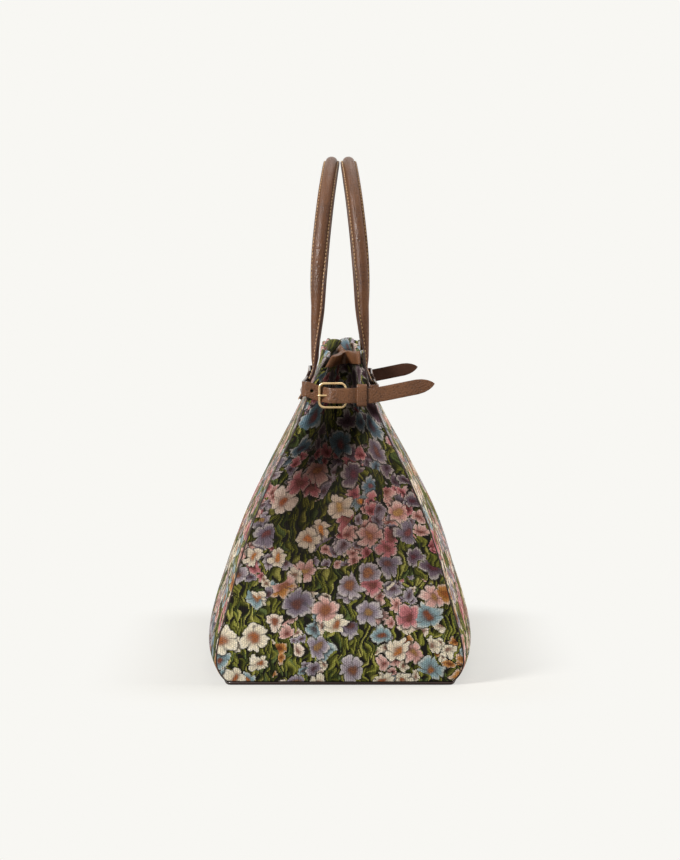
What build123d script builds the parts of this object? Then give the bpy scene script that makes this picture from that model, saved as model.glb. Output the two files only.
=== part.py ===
"""Jacquard tote bag, standing with its side straps buckled.

Millimetres, +Z up, origin under the middle of the base. X runs along the length of
the bag, the front panel is on -Y and the back panel on +Y. Each end is a gusset that
folds inward towards its top, where a leather strap and a buckle draw it together.
"""
import math
import os

from build123d import *

# Body
BODY_HEIGHT = 272.0         # floor to rim
BASE_LENGTH = 344.0         # seam to seam at the floor, along X
TOP_LENGTH = 360.0          # seam to seam at the rim, along X
BASE_DEPTH = 200.0          # front seam to back seam where the ends are deepest
BELLY = 13.5                # how far the panels bow out past the seams
BASE_CORNER = 20.0          # radius where the sides turn under to the base
FABRIC = 2.2                # jacquard with its lining
FOLD_DEPTH = 44.0           # how far the gusset is drawn in where it is deepest
END_BULGE = 4.0             # how far the lower gusset bows out
RIM_PULL = 7.2              # how far the handles hold the rim open
PIPING_RADIUS = 0.9
PIPING_SIDES = 6
SEAM_GAP = 0.35             # clearance between sewn pieces

# Base
BASE_THICKNESS = 3.2
BASE_EDGE = 3.0             # corner radius of the base, seen from below
BOARD_THICKNESS = 2.0
BOARD_INSET = 18.0          # from the edge of the base to the edge of the board

# Gusset binding
BINDING_HEIGHT = 11.0
BINDING_LEATHER = 1.3       # each of the two layers
BINDING_INSET = 1.9         # the binding stops this much short of the gusset's edge

# Handles
HANDLE_RISE = 165.0         # rim to the top of the handles
HANDLE_SPREAD = 144.0       # between the legs of one handle
HANDLE_WIDTH = 14.0
HANDLE_MARGIN = 2.5         # thickness of the sewn margins
HANDLE_DOME = 6.5           # thickness through the padded middle
HANDLE_PAD = 10.0           # width of the padded middle
HANDLE_TAB = 45.0           # length sewn down below the rim
HANDLE_TAB_THICKNESS = 2.6
HANDLE_TAB_GAP = 1.2        # the flat tab clears the bowed panel by this at its middle
HANDLE_GAP = 0.8            # between the two handles where they lean together

# Side straps, with the holes for the tongue
STRAP_WIDTH = 12.0
STRAP_THICKNESS = 1.6
STRAP_FALL = 31.0           # rim to the middle of the strap at the front corner
STRAP_DROP = 5.0            # from the front corner down to the buckle
CHAPE_DROP = 2.5            # from the back corner down to the buckle
STRAP_CLEAR = 4.5           # room between the piping and a strap at the corner
STRAP_BEND = 3.4            # radius of the strap's middle at the corner
STRAP_TAIL = 50.0           # from the keeper to the tip
STRAP_RISE = 9.5            # the tip stands this much higher than the buckle
STRAP_POINT = 14.0          # length of the pointed end
STRAP_LAP = 4.0             # how far the root laps past the handle
HOLE_RADIUS = 1.3
HOLE_SIDES = 8
HOLE_PITCH = 16.0

# Buckles and keepers, measured from the heel bar along the strap
BUCKLE_LENGTH = 23.0
BUCKLE_HEIGHT = 21.0
BUCKLE_WIRE = 2.0
BUCKLE_CORNER = 5.0
BUCKLE_CHAMFER = 0.5
BUCKLE_OFFSET = -6.0        # middle of the buckle, along Y
BUCKLE_STANDOFF = 5.9       # from the seam out to the middle of the buckle
TONGUE_WIRE = 1.6
TONGUE_TIP = 2.0            # how far the tongue reaches past the front bar
BAR_GAP = 0.5               # room round the heel bar, along its diagonal too
CHAPE_THICKNESS = 1.4
CHAPE_RETURN = 21.0         # length of the chape turned back round the bar
STACK_GAP = 0.25            # between the layers at the buckle
RAMP_START = 2.0            # from the front bar to where the strap starts to rise
RAMP_END = 9.0              # from the front bar to where it lies on the chape
BAR_RISE = 2.0              # the strap is still this much high just before the front bar
HUMP = 1.6                  # the strap lies this far past the heel bar
SETTLE = 8.8                # and is down on the chape here
KEEPER_WIDTH = 8.0
KEEPER_PLACE = 12.9         # middle of the keeper
KEEPER_WALL = 1.2
KEEPER_ROOM = 1.8           # room beside the strap inside the keeper
KEEPER_CORNER = 1.0

# Outline of the bag, from above the base corner to the rim
HEIGHT_SHARES = (0.22, 0.44, 0.62, 0.75, 0.83, 0.89, 0.945, 1.0)
SEAM_SHARES = (0.917, 0.745, 0.55, 0.378, 0.288, 0.232, 0.183, 0.145)
BELLY_SHARES = (1.0, 0.78, 0.47, 0.34, 0.18, -0.08, -0.22, -0.55)
PULL_SHARES = (0.0, 0.0, 0.0, 0.0, 0.0, 0.0, 0.17, 1.0)
FOLD_SHARES = (0.0, 0.15, 0.55, 0.86, 0.97, 1.0, 0.93, 0.80)
BULGE_SHARES = (1.0, 0.5, 0.1, 0.0, 0.0, 0.0, 0.0, 0.0)
ARC_SHARES = (1.0, 0.66, 0.33, 0.0)

# Fold of the gusset, from the front seam across to the back seam
ACROSS_SHARES = (-0.82, -0.62, -0.43, -0.20, 0.10, 0.40, 0.62, 0.80, 0.91)
DEPTH_SHARES = (0.015, 0.17, 0.52, 0.91, 1.0, 0.92, 0.54, 0.16, 0.015)
ACROSS_STEPS = 2            # flat facets between two places across the fold

# Handle, as shares of its tab, then of its rise, spread and lean above the rim
TAB_SHARES = (1.0, 0.72, 0.44, 0.16)
TAB_PAD_SHARES = (0.1, 0.1, 0.15, 0.7)
TAB_LIFT_SHARES = (1.0, 1.0, 1.0, 1.75)
RISE_SHARES = (0.16, 0.36, 0.56, 0.78, 0.93, 1.0)
SPREAD_SHARES = (1.0, 0.99, 0.92, 0.70, 0.39, 0.0)
LEAN_SHARES = (1.14, 1.12, 0.94, 0.55, 0.19, 0.0)
TURN_SHARES = (0.6, 0.35, 0.12, 0.0, 0.0, 0.0)
ARCH_SHARE = 0.55           # height of the middle of the arch

# Turns of the straps, as shares of a quarter turn
CORNER_SHARES = (0.0, 0.33, 0.67, 1.0)
BAR_SHARES = (-1.0, -0.5, 0.0, 0.5, 1.0)

# Pointed end of the strap, as shares of its length and of the strap's width
POINT_SHARES = (0.0, 0.35, 0.65, 0.87, 1.0)
TAPER_SHARES = (1.0, 0.90, 0.66, 0.36, 0.06)

HANDLE_STEPS = 2            # flat facets between two stations of a handle
DOME_STEPS = 4              # flat facets across the padded dome

STRAP_HEIGHT = BODY_HEIGHT - STRAP_FALL
BUCKLE_LEVEL = STRAP_HEIGHT - STRAP_DROP
CHAPE_HEIGHT = BUCKLE_LEVEL + CHAPE_DROP

FRONT = -1
BACK = 1
QUARTER = math.pi / 2


def blend(shares, height):
    """Smooth value of a table of shares at a height, along the outline's levels."""
    marks = [share * BODY_HEIGHT for share in HEIGHT_SHARES]
    last = len(marks) - 1
    index = 0
    while index < last - 1 and height > marks[index + 1]:
        index += 1
    low, high = marks[index], marks[index + 1]
    before = max(index - 1, 0)
    after = min(index + 2, last)
    span = high - low
    start = (shares[index + 1] - shares[before]) / (high - marks[before]) * span
    end = (shares[after] - shares[index]) / (marks[after] - low) * span
    t = (height - low) / span
    rise = shares[index + 1] - shares[index]
    bend = 3 * rise - 2 * start - end
    twist = start + end - 2 * rise
    return shares[index] + t * (start + t * (bend + t * twist))


def flow(points, steps):
    """Points along a smooth curve through the given ones, steps to each span."""
    result = []
    last = len(points) - 1
    for index in range(last):
        before, start = points[max(index - 1, 0)], points[index]
        end, after = points[index + 1], points[min(index + 2, last)]
        for step in range(steps):
            t = step / steps
            pull = (end - before) * t
            bend = (before * 2 - start * 5 + end * 4 - after) * (t * t)
            twist = (start * 3 - before - end * 3 + after) * (t * t * t)
            result.append(start + (pull + bend + twist) * 0.5)
    return result + [points[-1]]


def above(height):
    """The height, or the lowest level of the outline's tables if that is higher."""
    return max(height, HEIGHT_SHARES[0] * BODY_HEIGHT)


def half_length(height):
    """Distance from the middle of the bag to its end seam."""
    return (BASE_LENGTH + (TOP_LENGTH - BASE_LENGTH) * height / BODY_HEIGHT) / 2


def seam_depth(height):
    """Distance of the end seam from the middle plane."""
    first = above(0)
    if height >= first:
        return BASE_DEPTH / 2 * blend(SEAM_SHARES, height)
    rest = first - BASE_CORNER
    t = max(height - BASE_CORNER, 0) / rest
    step = BODY_HEIGHT * (HEIGHT_SHARES[1] - HEIGHT_SHARES[0])
    slope = (SEAM_SHARES[1] - SEAM_SHARES[0]) * rest / step
    fall = SEAM_SHARES[0] - 1
    share = 1 + t * t * (3 * fall - slope + t * (slope - 2 * fall))
    drop = max(BASE_CORNER - height, 0)
    turned = BASE_CORNER - math.sqrt(BASE_CORNER ** 2 - drop ** 2)
    return BASE_DEPTH / 2 * share - turned


def panel_depth(along, height):
    """Distance of a panel from the middle plane, at a share of the length."""
    bow = BELLY * (1 - along * along) * blend(BELLY_SHARES, above(height))
    return seam_depth(height) + bow


def handle_along():
    """Share of the length at which the handles are sewn on."""
    return HANDLE_SPREAD / TOP_LENGTH


def held_depth(height):
    """Distance of a panel from the middle plane where the handle holds it."""
    return panel_depth(handle_along(), height) + RIM_PULL * blend(PULL_SHARES, above(height))


def lean(height):
    """Angle by which a panel leans inward under a handle, over the width of a strap."""
    low = height - STRAP_WIDTH / 2
    high = min(height + STRAP_WIDTH / 2, BODY_HEIGHT)
    return math.atan((held_depth(low) - held_depth(high)) / (high - low))


def levels():
    """Heights of the outline, from the base up to the rim."""
    foot = BASE_THICKNESS + SEAM_GAP
    lowest = math.asin(1 - foot / BASE_CORNER)
    arc = [BASE_CORNER * (1 - math.sin(lowest * share)) for share in ARC_SHARES]
    return arc + [share * BODY_HEIGHT for share in HEIGHT_SHARES]


def fine_levels(top):
    """The outline's heights up to a top, the tall steps between them halved."""
    marks = [height for height in levels() if height < top] + [top]
    heights = [marks[0]]
    for low, high in zip(marks, marks[1:]):
        if high - low > BASE_CORNER:
            heights.append((low + high) / 2)
        heights.append(high)
    return heights


def thicken(points, half):
    """Two rows of points, half a thickness to each side of a row."""
    outer = []
    inner = []
    for index, point in enumerate(points):
        ahead = points[min(index + 1, len(points) - 1)]
        behind = points[max(index - 1, 0)]
        run = (ahead - behind).normalized()
        side = Vector(run.Y, -run.X)
        if index in (0, len(points) - 1):
            side = Vector(1 / run.Y, 0)
        outer.append(point + side * half)
        inner.append(point - side * half)
    return outer, inner


def thin_ring(outer, inner):
    """Closed wire round a thin section, from its two long sides."""
    steps = [index / (len(outer) - 1) for index in range(len(outer))]
    return Wire([
        Edge.make_spline(outer, parameters=steps),
        Edge.make_line(outer[-1], inner[-1]),
        Edge.make_spline(inner[::-1], parameters=steps),
        Edge.make_line(inner[0], outer[0]),
    ])


def panel_section(along, side):
    """Upright section of the front or back panel at a share of the length."""
    held = abs(along) == handle_along()
    points = []
    for height in levels():
        depth = held_depth(height) if held else panel_depth(along, height)
        points.append(Vector(depth, height))
    rows = []
    for row in thicken(points, FABRIC / 2):
        reach = [half_length(point.Y) - (PIPING_RADIUS + SEAM_GAP) for point in row]
        rows.append([Vector(along * x, side * point.X, point.Y) for x, point in zip(reach, row)])
    return thin_ring(*rows)


def make_panel(side):
    """Front or back panel: one sheet bowed between the seams and over the handles."""
    stations = (-1, -handle_along(), 0, handle_along(), 1)
    return Solid.make_loft([panel_section(along, side) for along in stations])


def gusset_row(height, margin):
    """Level row of points across the folded gusset, ending margin short of its seams."""
    reach = seam_depth(height) - margin
    length = half_length(height)
    fold = FOLD_DEPTH * blend(FOLD_SHARES, above(height))
    bulge = END_BULGE * blend(BULGE_SHARES, above(height)) * min(height / BASE_CORNER, 1)
    row = [Vector(length, -reach)]
    for across, drawn in zip(ACROSS_SHARES, DEPTH_SHARES):
        bow = bulge * (1 - across * across)
        row.append(Vector(length + bow - fold * drawn, reach * across))
    row.append(Vector(length, reach))
    return flow(row, ACROSS_STEPS)


def gusset_sheet(heights, margin, half):
    """Folded sheet lofted through level sections, half a thickness to each side."""
    sections = []
    for height in heights:
        row = gusset_row(height, margin)
        outer, inner = thicken(row, half)
        for index in (0, -1):
            outer[index] = row[index] + Vector(half, 0)
            inner[index] = row[index] - Vector(half, 0)
        lift = Vector(0, 0, height)
        sections.append(Wire.make_polygon([point + lift for point in outer + inner[::-1]]))
    return Solid.make_loft(sections, ruled=True)


def make_gusset():
    """End gusset, flat below and folded inward above, up to its binding."""
    top = BODY_HEIGHT - BINDING_HEIGHT - SEAM_GAP
    return gusset_sheet(fine_levels(top), PIPING_RADIUS + SEAM_GAP, FABRIC / 2)


def make_binding():
    """Leather band folded double along the top edge of the gusset."""
    margin = PIPING_RADIUS + SEAM_GAP + BINDING_INSET
    middle = BODY_HEIGHT - BINDING_HEIGHT / 2
    heights = (BODY_HEIGHT - BINDING_HEIGHT, middle, BODY_HEIGHT)
    return gusset_sheet(heights, margin, BINDING_LEATHER)


def make_piping(side):
    """Cord covered in leather along one end seam."""
    sections = []
    for height in fine_levels(BODY_HEIGHT):
        centre = Vector(half_length(height), side * seam_depth(height), height)
        cord = Wire.make_polygon(RegularPolygon(PIPING_RADIUS, PIPING_SIDES).vertices())
        sections.append(cord.translate(centre))
    return Solid.make_loft(sections, ruled=True)


def base_outline(inset):
    """Face of the base as seen from below, its long edges bowed with the panels."""
    foot = BASE_THICKNESS + SEAM_GAP
    end = half_length(0) + PIPING_RADIUS - inset
    corner = seam_depth(foot) + FABRIC / 2 - inset
    middle = panel_depth(0, foot) + FABRIC / 2 - inset
    edge = Wire([
        Edge.make_three_point_arc((-end, -corner), (0, -middle), (end, -corner)),
        Edge.make_line((end, -corner), (end, corner)),
        Edge.make_three_point_arc((end, corner), (0, middle), (-end, corner)),
        Edge.make_line((-end, corner), (-end, -corner)),
    ])
    face = Face(edge)
    return face.fillet_2d(BASE_EDGE, face.vertices())


def make_base():
    """Leather base that the panels stand on."""
    return Solid.extrude(base_outline(0), Vector(0, 0, BASE_THICKNESS))


def make_board():
    """Stiff board lying on the base inside the bag."""
    board = Solid.extrude(base_outline(BOARD_INSET), Vector(0, 0, BOARD_THICKNESS))
    return board.translate((0, 0, BASE_THICKNESS))


def frames(points, normals):
    """Width and outward directions at each point of a path, square to the path."""
    result = []
    for index, (point, normal) in enumerate(zip(points, normals)):
        ahead = points[min(index + 1, len(points) - 1)]
        behind = points[max(index - 1, 0)]
        run = (ahead - behind).normalized()
        out = (normal - run * normal.dot(run)).normalized()
        result.append((point, run.cross(out), out))
    return result


def handle_path(side):
    """Points along the back of a handle and the way its padded face looks there."""
    outward = Vector(0, side, 0)
    half_spread = HANDLE_SPREAD / 2
    points = []
    normals = []
    pads = []
    for share, pad, raised in zip(TAB_SHARES, TAB_PAD_SHARES, TAB_LIFT_SHARES):
        height = BODY_HEIGHT - HANDLE_TAB * share
        lift = (FABRIC / 2 + HANDLE_TAB_GAP * raised) / math.cos(lean(height))
        depth = held_depth(height) + lift
        points.append(Vector(half_spread, side * depth, height))
        normals.append(outward)
        pads.append(pad)
    rim = held_depth(BODY_HEIGHT) + FABRIC / 2 + SEAM_GAP
    meet = (HANDLE_WIDTH + HANDLE_GAP) / 2
    rise = HANDLE_RISE - HANDLE_DOME
    table = zip(RISE_SHARES, SPREAD_SHARES, LEAN_SHARES, TURN_SHARES)
    for up, spread, leaning, turn in table:
        depth = meet + (rim - meet) * leaning
        point = Vector(half_spread * spread, side * depth, BODY_HEIGHT + rise * up)
        radial = Vector(spread, 0, max(up - ARCH_SHARE, 0) * rise / half_spread).normalized()
        points.append(point)
        normals.append(outward * turn + radial * (1 - turn))
        pads.append(1)
    flip = [Vector(-p.X, p.Y, p.Z) for p in points[:-1]]
    flip_normals = [Vector(-n.X, n.Y, n.Z) for n in normals[:-1]]
    return flip + points[::-1], flip_normals + normals[::-1], pads[:-1] + pads[::-1]


def handle_section(place, width, out, pad):
    """Section of the handle: two sewn margins beside a padded dome."""
    margin = HANDLE_TAB_THICKNESS + (HANDLE_MARGIN - HANDLE_TAB_THICKNESS) * pad
    crown = (HANDLE_DOME - HANDLE_MARGIN) * pad
    wide = HANDLE_WIDTH / 2
    padded = HANDLE_PAD / 2
    outline = [(-wide, 0), (wide, 0), (wide, margin)]
    for step in range(DOME_STEPS + 1):
        angle = math.pi * step / DOME_STEPS
        outline.append((padded * math.cos(angle), margin + crown * math.sin(angle)))
    outline.append((-wide, margin))
    return Wire.make_polygon([place + width * across + out * up for across, up in outline])


def make_handle(side):
    """Handle: flat tabs sewn to the panel, turning into a padded arch."""
    points, normals, pads = handle_path(side)
    points = flow(points, HANDLE_STEPS)
    normals = flow(normals, HANDLE_STEPS)
    pads = [pad.X for pad in flow([Vector(pad, 0) for pad in pads], HANDLE_STEPS)]
    sections = []
    for (place, width, out), pad in zip(frames(points, normals), pads):
        sections.append(handle_section(place, width, out, pad))
    return Solid.make_loft(sections, ruled=True)


def ribbon(points, normals, widths, thickness):
    """Flat leather strap lofted along a path, with a width at each point."""
    sections = []
    for (place, across, out), width in zip(frames(points, normals), widths):
        side = across * (width / 2)
        up = out * (thickness / 2)
        corners = [place - side - up, place + side - up, place + side + up, place - side + up]
        sections.append(Wire.make_polygon(corners))
    return Solid.make_loft(sections, ruled=True)


def buckle_point(along, out, rise):
    """Point by the right-hand buckle, from the middle of its heel bar."""
    heel = BUCKLE_OFFSET + (BUCKLE_LENGTH - BUCKLE_WIRE) / 2
    reach = half_length(BUCKLE_LEVEL) + BUCKLE_STANDOFF
    return Vector(reach + out, heel + along, BUCKLE_LEVEL + rise)


def corner_run(side, height, thickness, reach):
    """Path of a strap from the handle round the end corner, and its outward ways."""
    margin = HANDLE_WIDTH / 2 + STRAP_LAP
    tilt = lean(height)
    stack = FABRIC / 2 + HANDLE_TAB_GAP + HANDLE_TAB_THICKNESS + HANDLE_TAB_GAP + thickness / 2
    by_handle = held_depth(height) + stack / math.cos(tilt)
    half_spread = HANDLE_SPREAD / 2
    out = Vector(0, side * math.cos(tilt), math.sin(tilt))
    points = [
        Vector(half_spread - margin, side * by_handle, height),
        Vector(half_spread + margin, side * by_handle, height),
    ]
    normals = [out, out]
    out = Vector(0, side, 0)
    corner = seam_depth(height) + PIPING_RADIUS + STRAP_CLEAR + thickness / 2
    turn = Vector(reach - STRAP_BEND, side * corner, height) - out * STRAP_BEND
    for share in CORNER_SHARES:
        angle = QUARTER * share
        way = out * math.cos(angle) + Vector(math.sin(angle), 0, 0)
        points.append(turn + way * STRAP_BEND)
        normals.append(way)
    return points, normals


def strap_levels():
    """How far out the middle of the strap lies under the front bar, over the heel bar
    and down on the chape."""
    bar = BUCKLE_WIRE / 2
    under = -(bar + STACK_GAP + STRAP_THICKNESS / 2)
    over = bar + BAR_GAP + CHAPE_THICKNESS + STACK_GAP + STRAP_THICKNESS / 2
    lain = chape_levels()[1] + CHAPE_THICKNESS / 2 + STACK_GAP + STRAP_THICKNESS / 2
    return under, over, lain


def chape_levels():
    """How far out the middle of the chape's first and second layer lie."""
    first = -(BUCKLE_WIRE / 2 + BAR_GAP + CHAPE_THICKNESS / 2)
    return first, first + CHAPE_THICKNESS + STACK_GAP


def make_strap():
    """Side strap: from the front handle round the corner, through the buckle to its tip."""
    under, over, lain = strap_levels()
    span = BUCKLE_LENGTH - BUCKLE_WIRE
    keeper_end = KEEPER_PLACE + KEEPER_WIDTH
    reach = buckle_point(0, under, 0).X
    points, normals = corner_run(FRONT, STRAP_HEIGHT, STRAP_THICKNESS, reach)
    before_bar = buckle_point(-span - RAMP_START, under, BAR_RISE)
    front_hole = points[2] - Vector(HOLE_PITCH / 2, 0, 0)
    end_hole = (points[-1] + before_bar) / 2
    points += [
        before_bar,
        buckle_point(RAMP_START - span, under, BAR_RISE / 2),
        buckle_point(RAMP_END - span, over, 0),
        buckle_point(HUMP, over, 0),
        buckle_point(SETTLE, lain, 0),
        buckle_point(keeper_end, lain, 0),
    ]
    widths = [STRAP_WIDTH] * len(points)
    for share, taper in zip(POINT_SHARES, TAPER_SHARES):
        along = STRAP_TAIL - STRAP_POINT * (1 - share)
        rise = STRAP_RISE * along / STRAP_TAIL
        points.append(buckle_point(keeper_end + along, lain, rise))
        widths.append(STRAP_WIDTH * taper)
    normals += [Vector(1, 0, 0)] * (len(points) - len(normals))
    strap = ribbon(points, normals, widths, STRAP_THICKNESS)
    punch = extrude(RegularPolygon(HOLE_RADIUS, HOLE_SIDES), amount=span / 2, both=True)
    through = Rot(90, 0, 0) * punch
    tongue_level = BUCKLE_WIRE / 2 + STACK_GAP + TONGUE_WIRE / 2
    strap -= Pos(buckle_point((RAMP_START + RAMP_END) / 2 - span, tongue_level, 0)) * through
    strap -= Pos(end_hole) * Rot(0, 90, 0) * punch
    strap -= Pos(front_hole) * through
    return strap.solid()


def make_chape():
    """Short strap from the back handle, round the corner and back round the heel bar."""
    first, second = chape_levels()
    reach = buckle_point(0, first, 0).X
    points, normals = corner_run(BACK, CHAPE_HEIGHT, CHAPE_THICKNESS, reach)
    points.append(buckle_point(KEEPER_PLACE, first, 0))
    normals.append(Vector(1, 0, 0))
    for share in BAR_SHARES:
        angle = QUARTER * share
        way = Vector(math.sin(angle), -math.cos(angle), 0)
        points.append(buckle_point(first * math.cos(angle), -first * math.sin(angle), 0))
        normals.append(way * -1)
    points.append(buckle_point(SETTLE - HUMP, second, 0))
    points.append(buckle_point(CHAPE_RETURN, second, 0))
    normals += [Vector(-1, 0, 0)] * 2
    chape = ribbon(points, normals, [STRAP_WIDTH] * len(points), CHAPE_THICKNESS)
    slot_length = 4 * (BUCKLE_WIRE + BAR_GAP)
    slot = Box(slot_length, slot_length, TONGUE_WIRE + 2 * BAR_GAP)
    return (chape - Pos(buckle_point(0, 0, 0)) * slot).solid()


def make_frame():
    """Buckle frame: a rounded loop of metal."""
    loop = RectangleRounded(BUCKLE_LENGTH, BUCKLE_HEIGHT, BUCKLE_CORNER)
    hole = RectangleRounded(
        BUCKLE_LENGTH - 2 * BUCKLE_WIRE,
        BUCKLE_HEIGHT - 2 * BUCKLE_WIRE,
        BUCKLE_CORNER - BUCKLE_WIRE,
    )
    frame = extrude(loop - hole, amount=BUCKLE_WIRE / 2, both=True)
    frame = chamfer(frame.edges().filter_by(Plane.XY), BUCKLE_CHAMFER)
    middle = buckle_point((BUCKLE_WIRE - BUCKLE_LENGTH) / 2, 0, 0)
    place = Plane(origin=middle, x_dir=(0, 1, 0), z_dir=(1, 0, 0))
    return (place * frame).solid()


def make_tongue():
    """Buckle tongue: an eye round the heel bar and a prong lying on the front bar."""
    bar = BUCKLE_WIRE / 2
    level = bar + STACK_GAP
    reach = BUCKLE_LENGTH - BUCKLE_WIRE + TONGUE_TIP
    eye = Circle(level + TONGUE_WIRE) - Circle(bar + BAR_GAP)
    prong = Pos(-reach / 2, level + TONGUE_WIRE / 2) * Rectangle(reach, TONGUE_WIRE)
    outline = eye + prong - Circle(bar + BAR_GAP)
    solid = extrude(outline, amount=TONGUE_WIRE / 2, both=True)
    place = Plane(origin=buckle_point(0, 0, 0), x_dir=(0, 1, 0), z_dir=(0, 0, -1))
    return (place * solid).solid()


def make_keeper():
    """Leather loop that holds the strap down on the chape."""
    low = chape_levels()[0] - CHAPE_THICKNESS / 2 - STACK_GAP
    high = strap_levels()[2] + STRAP_THICKNESS / 2 + STACK_GAP
    room = STRAP_WIDTH + 2 * KEEPER_ROOM
    tall = high - low
    outer = RectangleRounded(tall + 2 * KEEPER_WALL, room + 2 * KEEPER_WALL, KEEPER_CORNER)
    loop = extrude(outer - Rectangle(tall, room), amount=KEEPER_WIDTH / 2, both=True)
    middle = buckle_point(KEEPER_PLACE, (low + high) / 2, 0)
    place = Plane(origin=middle, x_dir=(1, 0, 0), z_dir=(0, 1, 0))
    return (place * loop).solid()


def write_pair(shape, name):
    """Write a piece of the right-hand end and its mirror image at the left-hand end."""
    export_step(shape, f"parts/{name}_right.step")
    export_step(mirror(shape, about=Plane.YZ), f"parts/{name}_left.step")


os.makedirs("parts", exist_ok=True)
export_step(make_panel(FRONT), "parts/front_panel.step")
export_step(make_panel(BACK), "parts/back_panel.step")
export_step(make_base(), "parts/base_panel.step")
export_step(make_board(), "parts/base_board.step")
export_step(make_handle(FRONT), "parts/handle_front.step")
export_step(make_handle(BACK), "parts/handle_back.step")
write_pair(make_gusset(), "gusset")
write_pair(make_binding(), "binding")
write_pair(make_piping(FRONT), "piping_front")
write_pair(make_piping(BACK), "piping_back")
write_pair(make_strap(), "side_strap")
write_pair(make_chape(), "chape")
write_pair(make_frame(), "buckle_frame")
write_pair(make_tongue(), "buckle_tongue")
write_pair(make_keeper(), "keeper")
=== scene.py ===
import math

import bpy
import numpy as np
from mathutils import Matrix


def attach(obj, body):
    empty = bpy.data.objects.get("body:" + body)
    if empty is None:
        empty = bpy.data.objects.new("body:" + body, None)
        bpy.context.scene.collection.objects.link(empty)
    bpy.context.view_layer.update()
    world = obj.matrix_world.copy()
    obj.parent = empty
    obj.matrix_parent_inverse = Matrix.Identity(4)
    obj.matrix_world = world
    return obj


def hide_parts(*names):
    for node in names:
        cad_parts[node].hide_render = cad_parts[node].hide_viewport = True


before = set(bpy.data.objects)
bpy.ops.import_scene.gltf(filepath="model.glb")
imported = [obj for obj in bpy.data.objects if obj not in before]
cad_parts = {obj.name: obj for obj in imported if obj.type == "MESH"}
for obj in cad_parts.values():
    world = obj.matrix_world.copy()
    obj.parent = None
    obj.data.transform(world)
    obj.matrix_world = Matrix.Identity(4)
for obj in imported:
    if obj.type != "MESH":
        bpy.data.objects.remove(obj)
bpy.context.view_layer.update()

# Body of the bag
BODY_HEIGHT = 0.272
BASE_LENGTH = 0.344
TOP_LENGTH = 0.360
BASE_DEPTH = 0.200
BELLY = 0.0135
BASE_CORNER = 0.020
FABRIC = 0.0022
FOLD_DEPTH = 0.044
END_BULGE = 0.004
RIM_PULL = 0.0072
PIPING = 0.0009
SEAM_GAP = 0.00035
BASE_THICKNESS = 0.0032
BASE_EDGE = 0.003
BINDING_HEIGHT = 0.011
BINDING_LEATHER = 0.0013
BINDING_INSET = 0.0019
FACING_HEIGHT = 0.030
PIPING_DROP = 0.0002
PANEL_EDGE = 0.0007
GUSSET_EDGE = 0.0006
BINDING_EDGE = 0.0010
EDGE_ANGLE = math.radians(50)

# Handles
HANDLE_RISE = 0.165
HANDLE_SPREAD = 0.144
HANDLE_WIDTH = 0.014
HANDLE_MARGIN = 0.0025
HANDLE_DOME = 0.0065
HANDLE_PAD = 0.010
HANDLE_TAB = 0.045
HANDLE_TAB_THICKNESS = 0.0026
HANDLE_TAB_GAP = 0.0012
HANDLE_GAP = 0.0008
HANDLE_ROUND = 0.0006
DOME_START = 0.12
GROOVE_OUTER = 0.0013
GROOVE_INNER = 0.0004
GROOVE_DEPTH = 0.0003
STITCH_PITCH = 0.0033
STITCH_LENGTH = 0.0023
STITCH_RADIUS = 0.00042
STITCH_DIP = 0.00035
STITCH_LIFT = 0.00005
STITCH_INSET = 0.0013

# Straps, buckles and keepers
STRAP_WIDTH = 0.012
STRAP_THICKNESS = 0.0016
STRAP_HEIGHT = 0.241
CHAPE_HEIGHT = 0.2385
STRAP_DROP = 0.005
STRAP_CLEAR = 0.0045
STRAP_BEND = 0.0034
STRAP_TAIL = 0.050
STRAP_RISE = 0.0095
STRAP_POINT = 0.014
STRAP_LAP = 0.004
HOLE_RADIUS = 0.0013
HOLE_PITCH = 0.016
BUCKLE_LENGTH = 0.023
BUCKLE_HEIGHT = 0.021
BUCKLE_WIRE = 0.002
BUCKLE_CORNER = 0.005
BUCKLE_OFFSET = -0.006
BUCKLE_STANDOFF = 0.0059
TONGUE_WIRE = 0.0016
TONGUE_TIP = 0.002
BAR_GAP = 0.0005
CHAPE_THICKNESS = 0.0014
CHAPE_RETURN = 0.021
STACK_GAP = 0.00025
RAMP_START = 0.002
RAMP_END = 0.009
BAR_RISE = 0.002
HUMP = 0.0016
SETTLE = 0.0088
KEEPER_WIDTH = 0.008
KEEPER_PLACE = 0.0129
KEEPER_WALL = 0.0012
KEEPER_ROOM = 0.0018
KEEPER_CORNER = 0.0016
KEEPER_SQUARE = 0.3
BUCKLE_SQUARE = 0.62
TONGUE_CURL = math.radians(215)
TONGUE_POINT = 0.0007
TONGUE_THIN = 0.12
STRAP_EDGE = 0.00035
PUNCH_REACH = 0.004

# Give of the cloth: depths in metres, reaches as shares, turns of the sines in radians
RIM_START = 0.86
HOLD_REACH = 0.24
FREE_EASE = 1.15
WAVE = 0.0017
WAVE_TURNS = (15.0, 26.0)
SECOND_WAVE = 0.6
DRAW = 0.0036
DRAW_REACH = 0.24
SWAY = 0.0066
SWAY_TURN = 15.7
SWAY_REACH = 0.22
RIPPLE = 0.0022
RIPPLE_TURN = 19.0
LIFT = 0.0040
LIFT_REACH = 0.34
DENT = 0.0011
DENT_TURNS = (5.2, 6.0, 3.1, 1.7)
CREASE = 0.0012
CREASE_TURNS = (9.0, 16.0)
CREASE_HEIGHT = 0.62
CREASE_REACH = 0.2
SLACK = 0.0016
SLACK_TURNS = (4.4, 9.0)
SLACK_START = 0.8
SLACK_HEIGHT = 0.34
SLACK_REACH = 0.22

# Sag of the top towards the back, near the two ends
SAG_START = 0.105
SAG_SPAN = 0.06
SAG_HEIGHT = 0.038
SAG_BACK = 0.0045
SAG_SINK = 0.0055
SAG_FRONT = 0.03

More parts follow.
